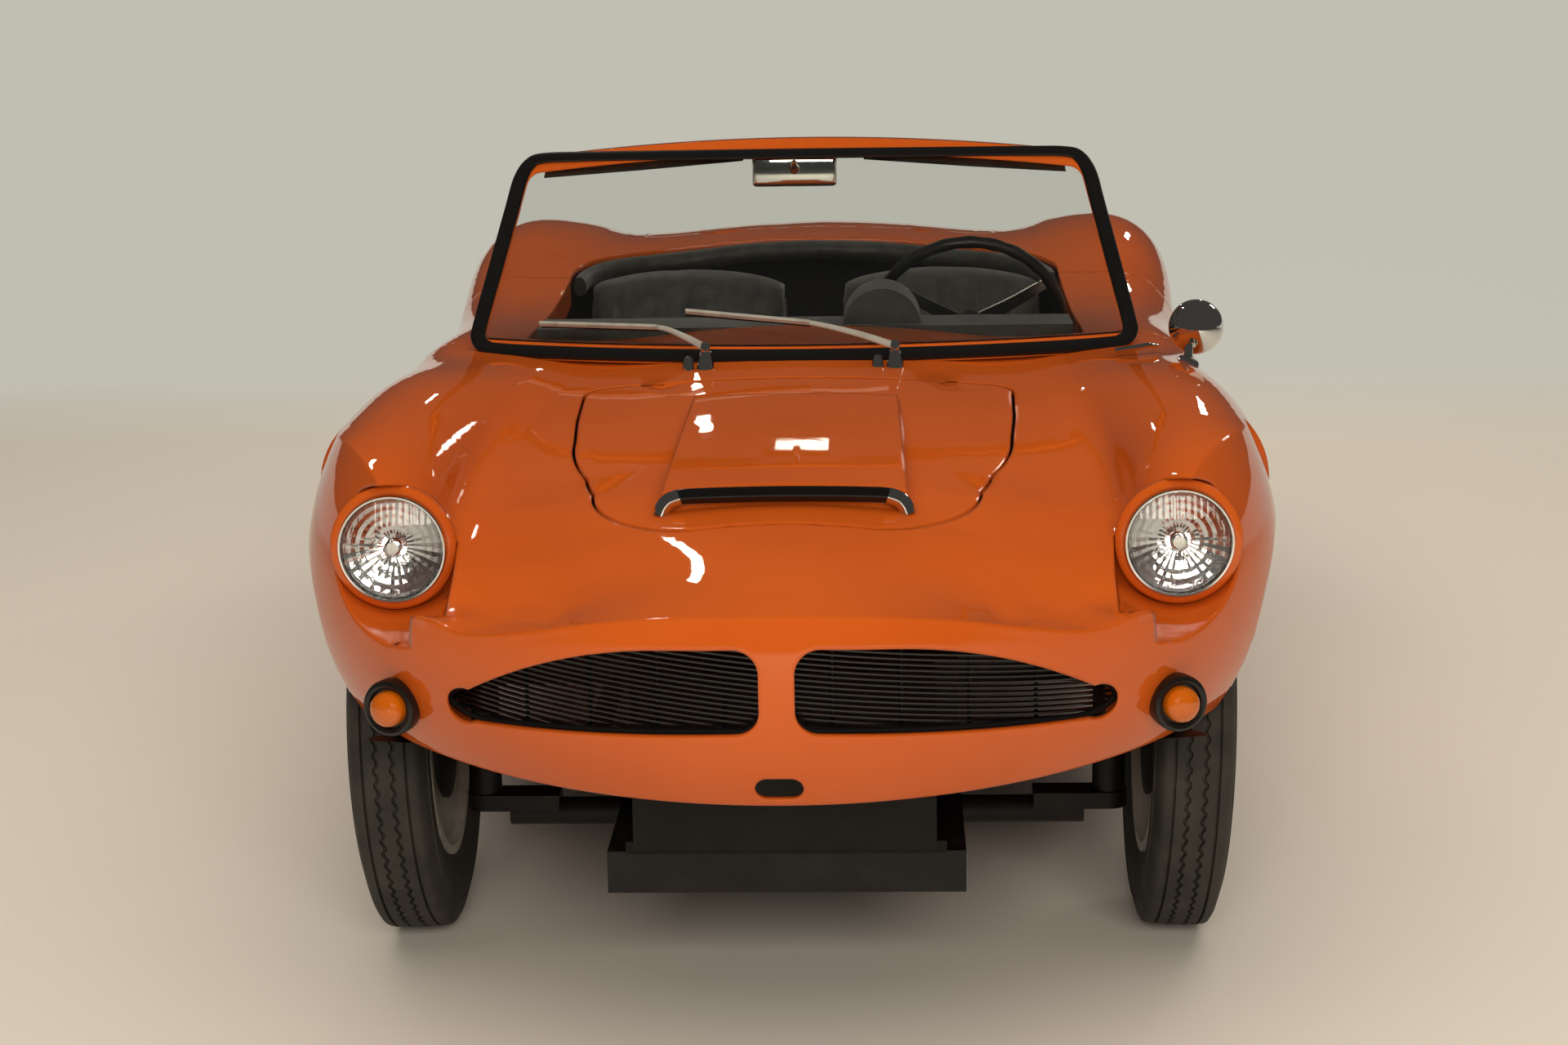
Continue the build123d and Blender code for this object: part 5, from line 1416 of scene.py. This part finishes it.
class ROADSTER_OT_finishes(bpy.types.Operator):
    """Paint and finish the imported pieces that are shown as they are"""
    bl_idname = "roadster.finishes"
    bl_label = "Finishes of the packed pieces"

    def execute(self, context):
        for finish, names in SHOWN_NODES.items():
            for name in names:
                NODES[name].data.materials.clear()
                NODES[name].data.materials.append(material(finish))
        return {"FINISHED"}


class ROADSTER_OT_panels(bpy.types.Operator):
    """Painted panels of the body and its lids"""
    bl_idname = "roadster.panels"
    bl_label = "Body panels"

    def execute(self, context):
        make_panels()
        return {"FINISHED"}


class ROADSTER_OT_nose(bpy.types.Operator):
    """The scoop's lip and the grille"""
    bl_idname = "roadster.nose"
    bl_label = "Scoop lip and grille"

    def execute(self, context):
        make_scoop_lip()
        make_grille()
        return {"FINISHED"}


class ROADSTER_OT_headlamps(bpy.types.Operator):
    """Headlamps in their wells"""
    bl_idname = "roadster.headlamps"
    bl_label = "Headlamps"

    def execute(self, context):
        make_headlamps()
        return {"FINISHED"}


class ROADSTER_OT_small_lamps(bpy.types.Operator):
    """Front indicators and the tail lamps' rims"""
    bl_idname = "roadster.small_lamps"
    bl_label = "Indicators and tail lamps"

    def execute(self, context):
        make_indicators()
        make_tail_lamp_rims()
        return {"FINISHED"}


class ROADSTER_OT_windscreen(bpy.types.Operator):
    """The windscreen's seal and its wipers"""
    bl_idname = "roadster.windscreen"
    bl_label = "Windscreen seal and wipers"

    def execute(self, context):
        make_windscreen_seal()
        make_wipers()
        return {"FINISHED"}


class ROADSTER_OT_mirrors(bpy.types.Operator):
    """Interior mirror, sun visors and wing mirror"""
    bl_idname = "roadster.mirrors"
    bl_label = "Mirrors and visors"

    def execute(self, context):
        make_interior_mirror()
        make_sun_visors()
        make_wing_mirror()
        return {"FINISHED"}


class ROADSTER_OT_tyres(bpy.types.Operator):
    """Treaded tyres"""
    bl_idname = "roadster.tyres"
    bl_label = "Tyres"

    def execute(self, context):
        make_tyres()
        return {"FINISHED"}


class ROADSTER_OT_seats(bpy.types.Operator):
    """Two padded seats"""
    bl_idname = "roadster.seats"
    bl_label = "Seats"

    def execute(self, context):
        make_seats()
        return {"FINISHED"}


class ROADSTER_OT_controls(bpy.types.Operator):
    """Steering wheel and dials"""
    bl_idname = "roadster.controls"
    bl_label = "Steering wheel and dials"

    def execute(self, context):
        make_steering_wheel()
        make_dials()
        return {"FINISHED"}


class ROADSTER_OT_trim(bpy.types.Operator):
    """Cockpit roll, door cards and footwell mats"""
    bl_idname = "roadster.trim"
    bl_label = "Cockpit trim"

    def execute(self, context):
        make_cockpit_roll()
        make_door_cards()
        make_footwell_mats()
        return {"FINISHED"}


class ROADSTER_OT_stage(bpy.types.Operator):
    """Floor, lights and camera"""
    bl_idname = "roadster.stage"
    bl_label = "Stage"

    def execute(self, context):
        make_floor()
        make_lights()
        make_camera()
        return {"FINISHED"}


class ROADSTER_PT_panel(bpy.types.Panel):
    """The roadster's pieces in the 3D view's sidebar"""
    bl_idname = "ROADSTER_PT_panel"
    bl_label = "Roadster"
    bl_space_type = "VIEW_3D"
    bl_region_type = "UI"
    bl_category = "Roadster"

    def draw(self, context):
        scene = context.scene
        for group in (scene.roadster_colours, scene.roadster_sizes, scene.roadster_stage):
            for name in group.bl_rna.properties.keys():
                if name not in ("rna_type", "name"):
                    self.layout.prop(group, name)
        for operator in OPERATORS:
            self.layout.operator(operator.bl_idname)


OPERATORS = (
    ROADSTER_OT_finishes, ROADSTER_OT_panels, ROADSTER_OT_nose, ROADSTER_OT_headlamps,
    ROADSTER_OT_small_lamps, ROADSTER_OT_windscreen, ROADSTER_OT_mirrors, ROADSTER_OT_tyres,
    ROADSTER_OT_seats, ROADSTER_OT_controls, ROADSTER_OT_trim, ROADSTER_OT_stage,
)
CLASSES = (RoadsterColours, RoadsterSizes, RoadsterStage, *OPERATORS, ROADSTER_PT_panel)


def register():
    """Register the classes and hang the properties on the scene."""
    for cls in CLASSES:
        bpy.utils.register_class(cls)
    bpy.types.Scene.roadster_colours = bpy.props.PointerProperty(type=RoadsterColours)
    bpy.types.Scene.roadster_sizes = bpy.props.PointerProperty(type=RoadsterSizes)
    bpy.types.Scene.roadster_stage = bpy.props.PointerProperty(type=RoadsterStage)


def unregister():
    """Undo what register did."""
    del bpy.types.Scene.roadster_stage
    del bpy.types.Scene.roadster_sizes
    del bpy.types.Scene.roadster_colours
    for cls in reversed(CLASSES):
        bpy.utils.unregister_class(cls)


def main():
    """Make every piece and the stage."""
    register()
    for operator in OPERATORS:
        space, name = operator.bl_idname.split(".")
        getattr(getattr(bpy.ops, space), name)()


if __name__ == "__main__":
    main()
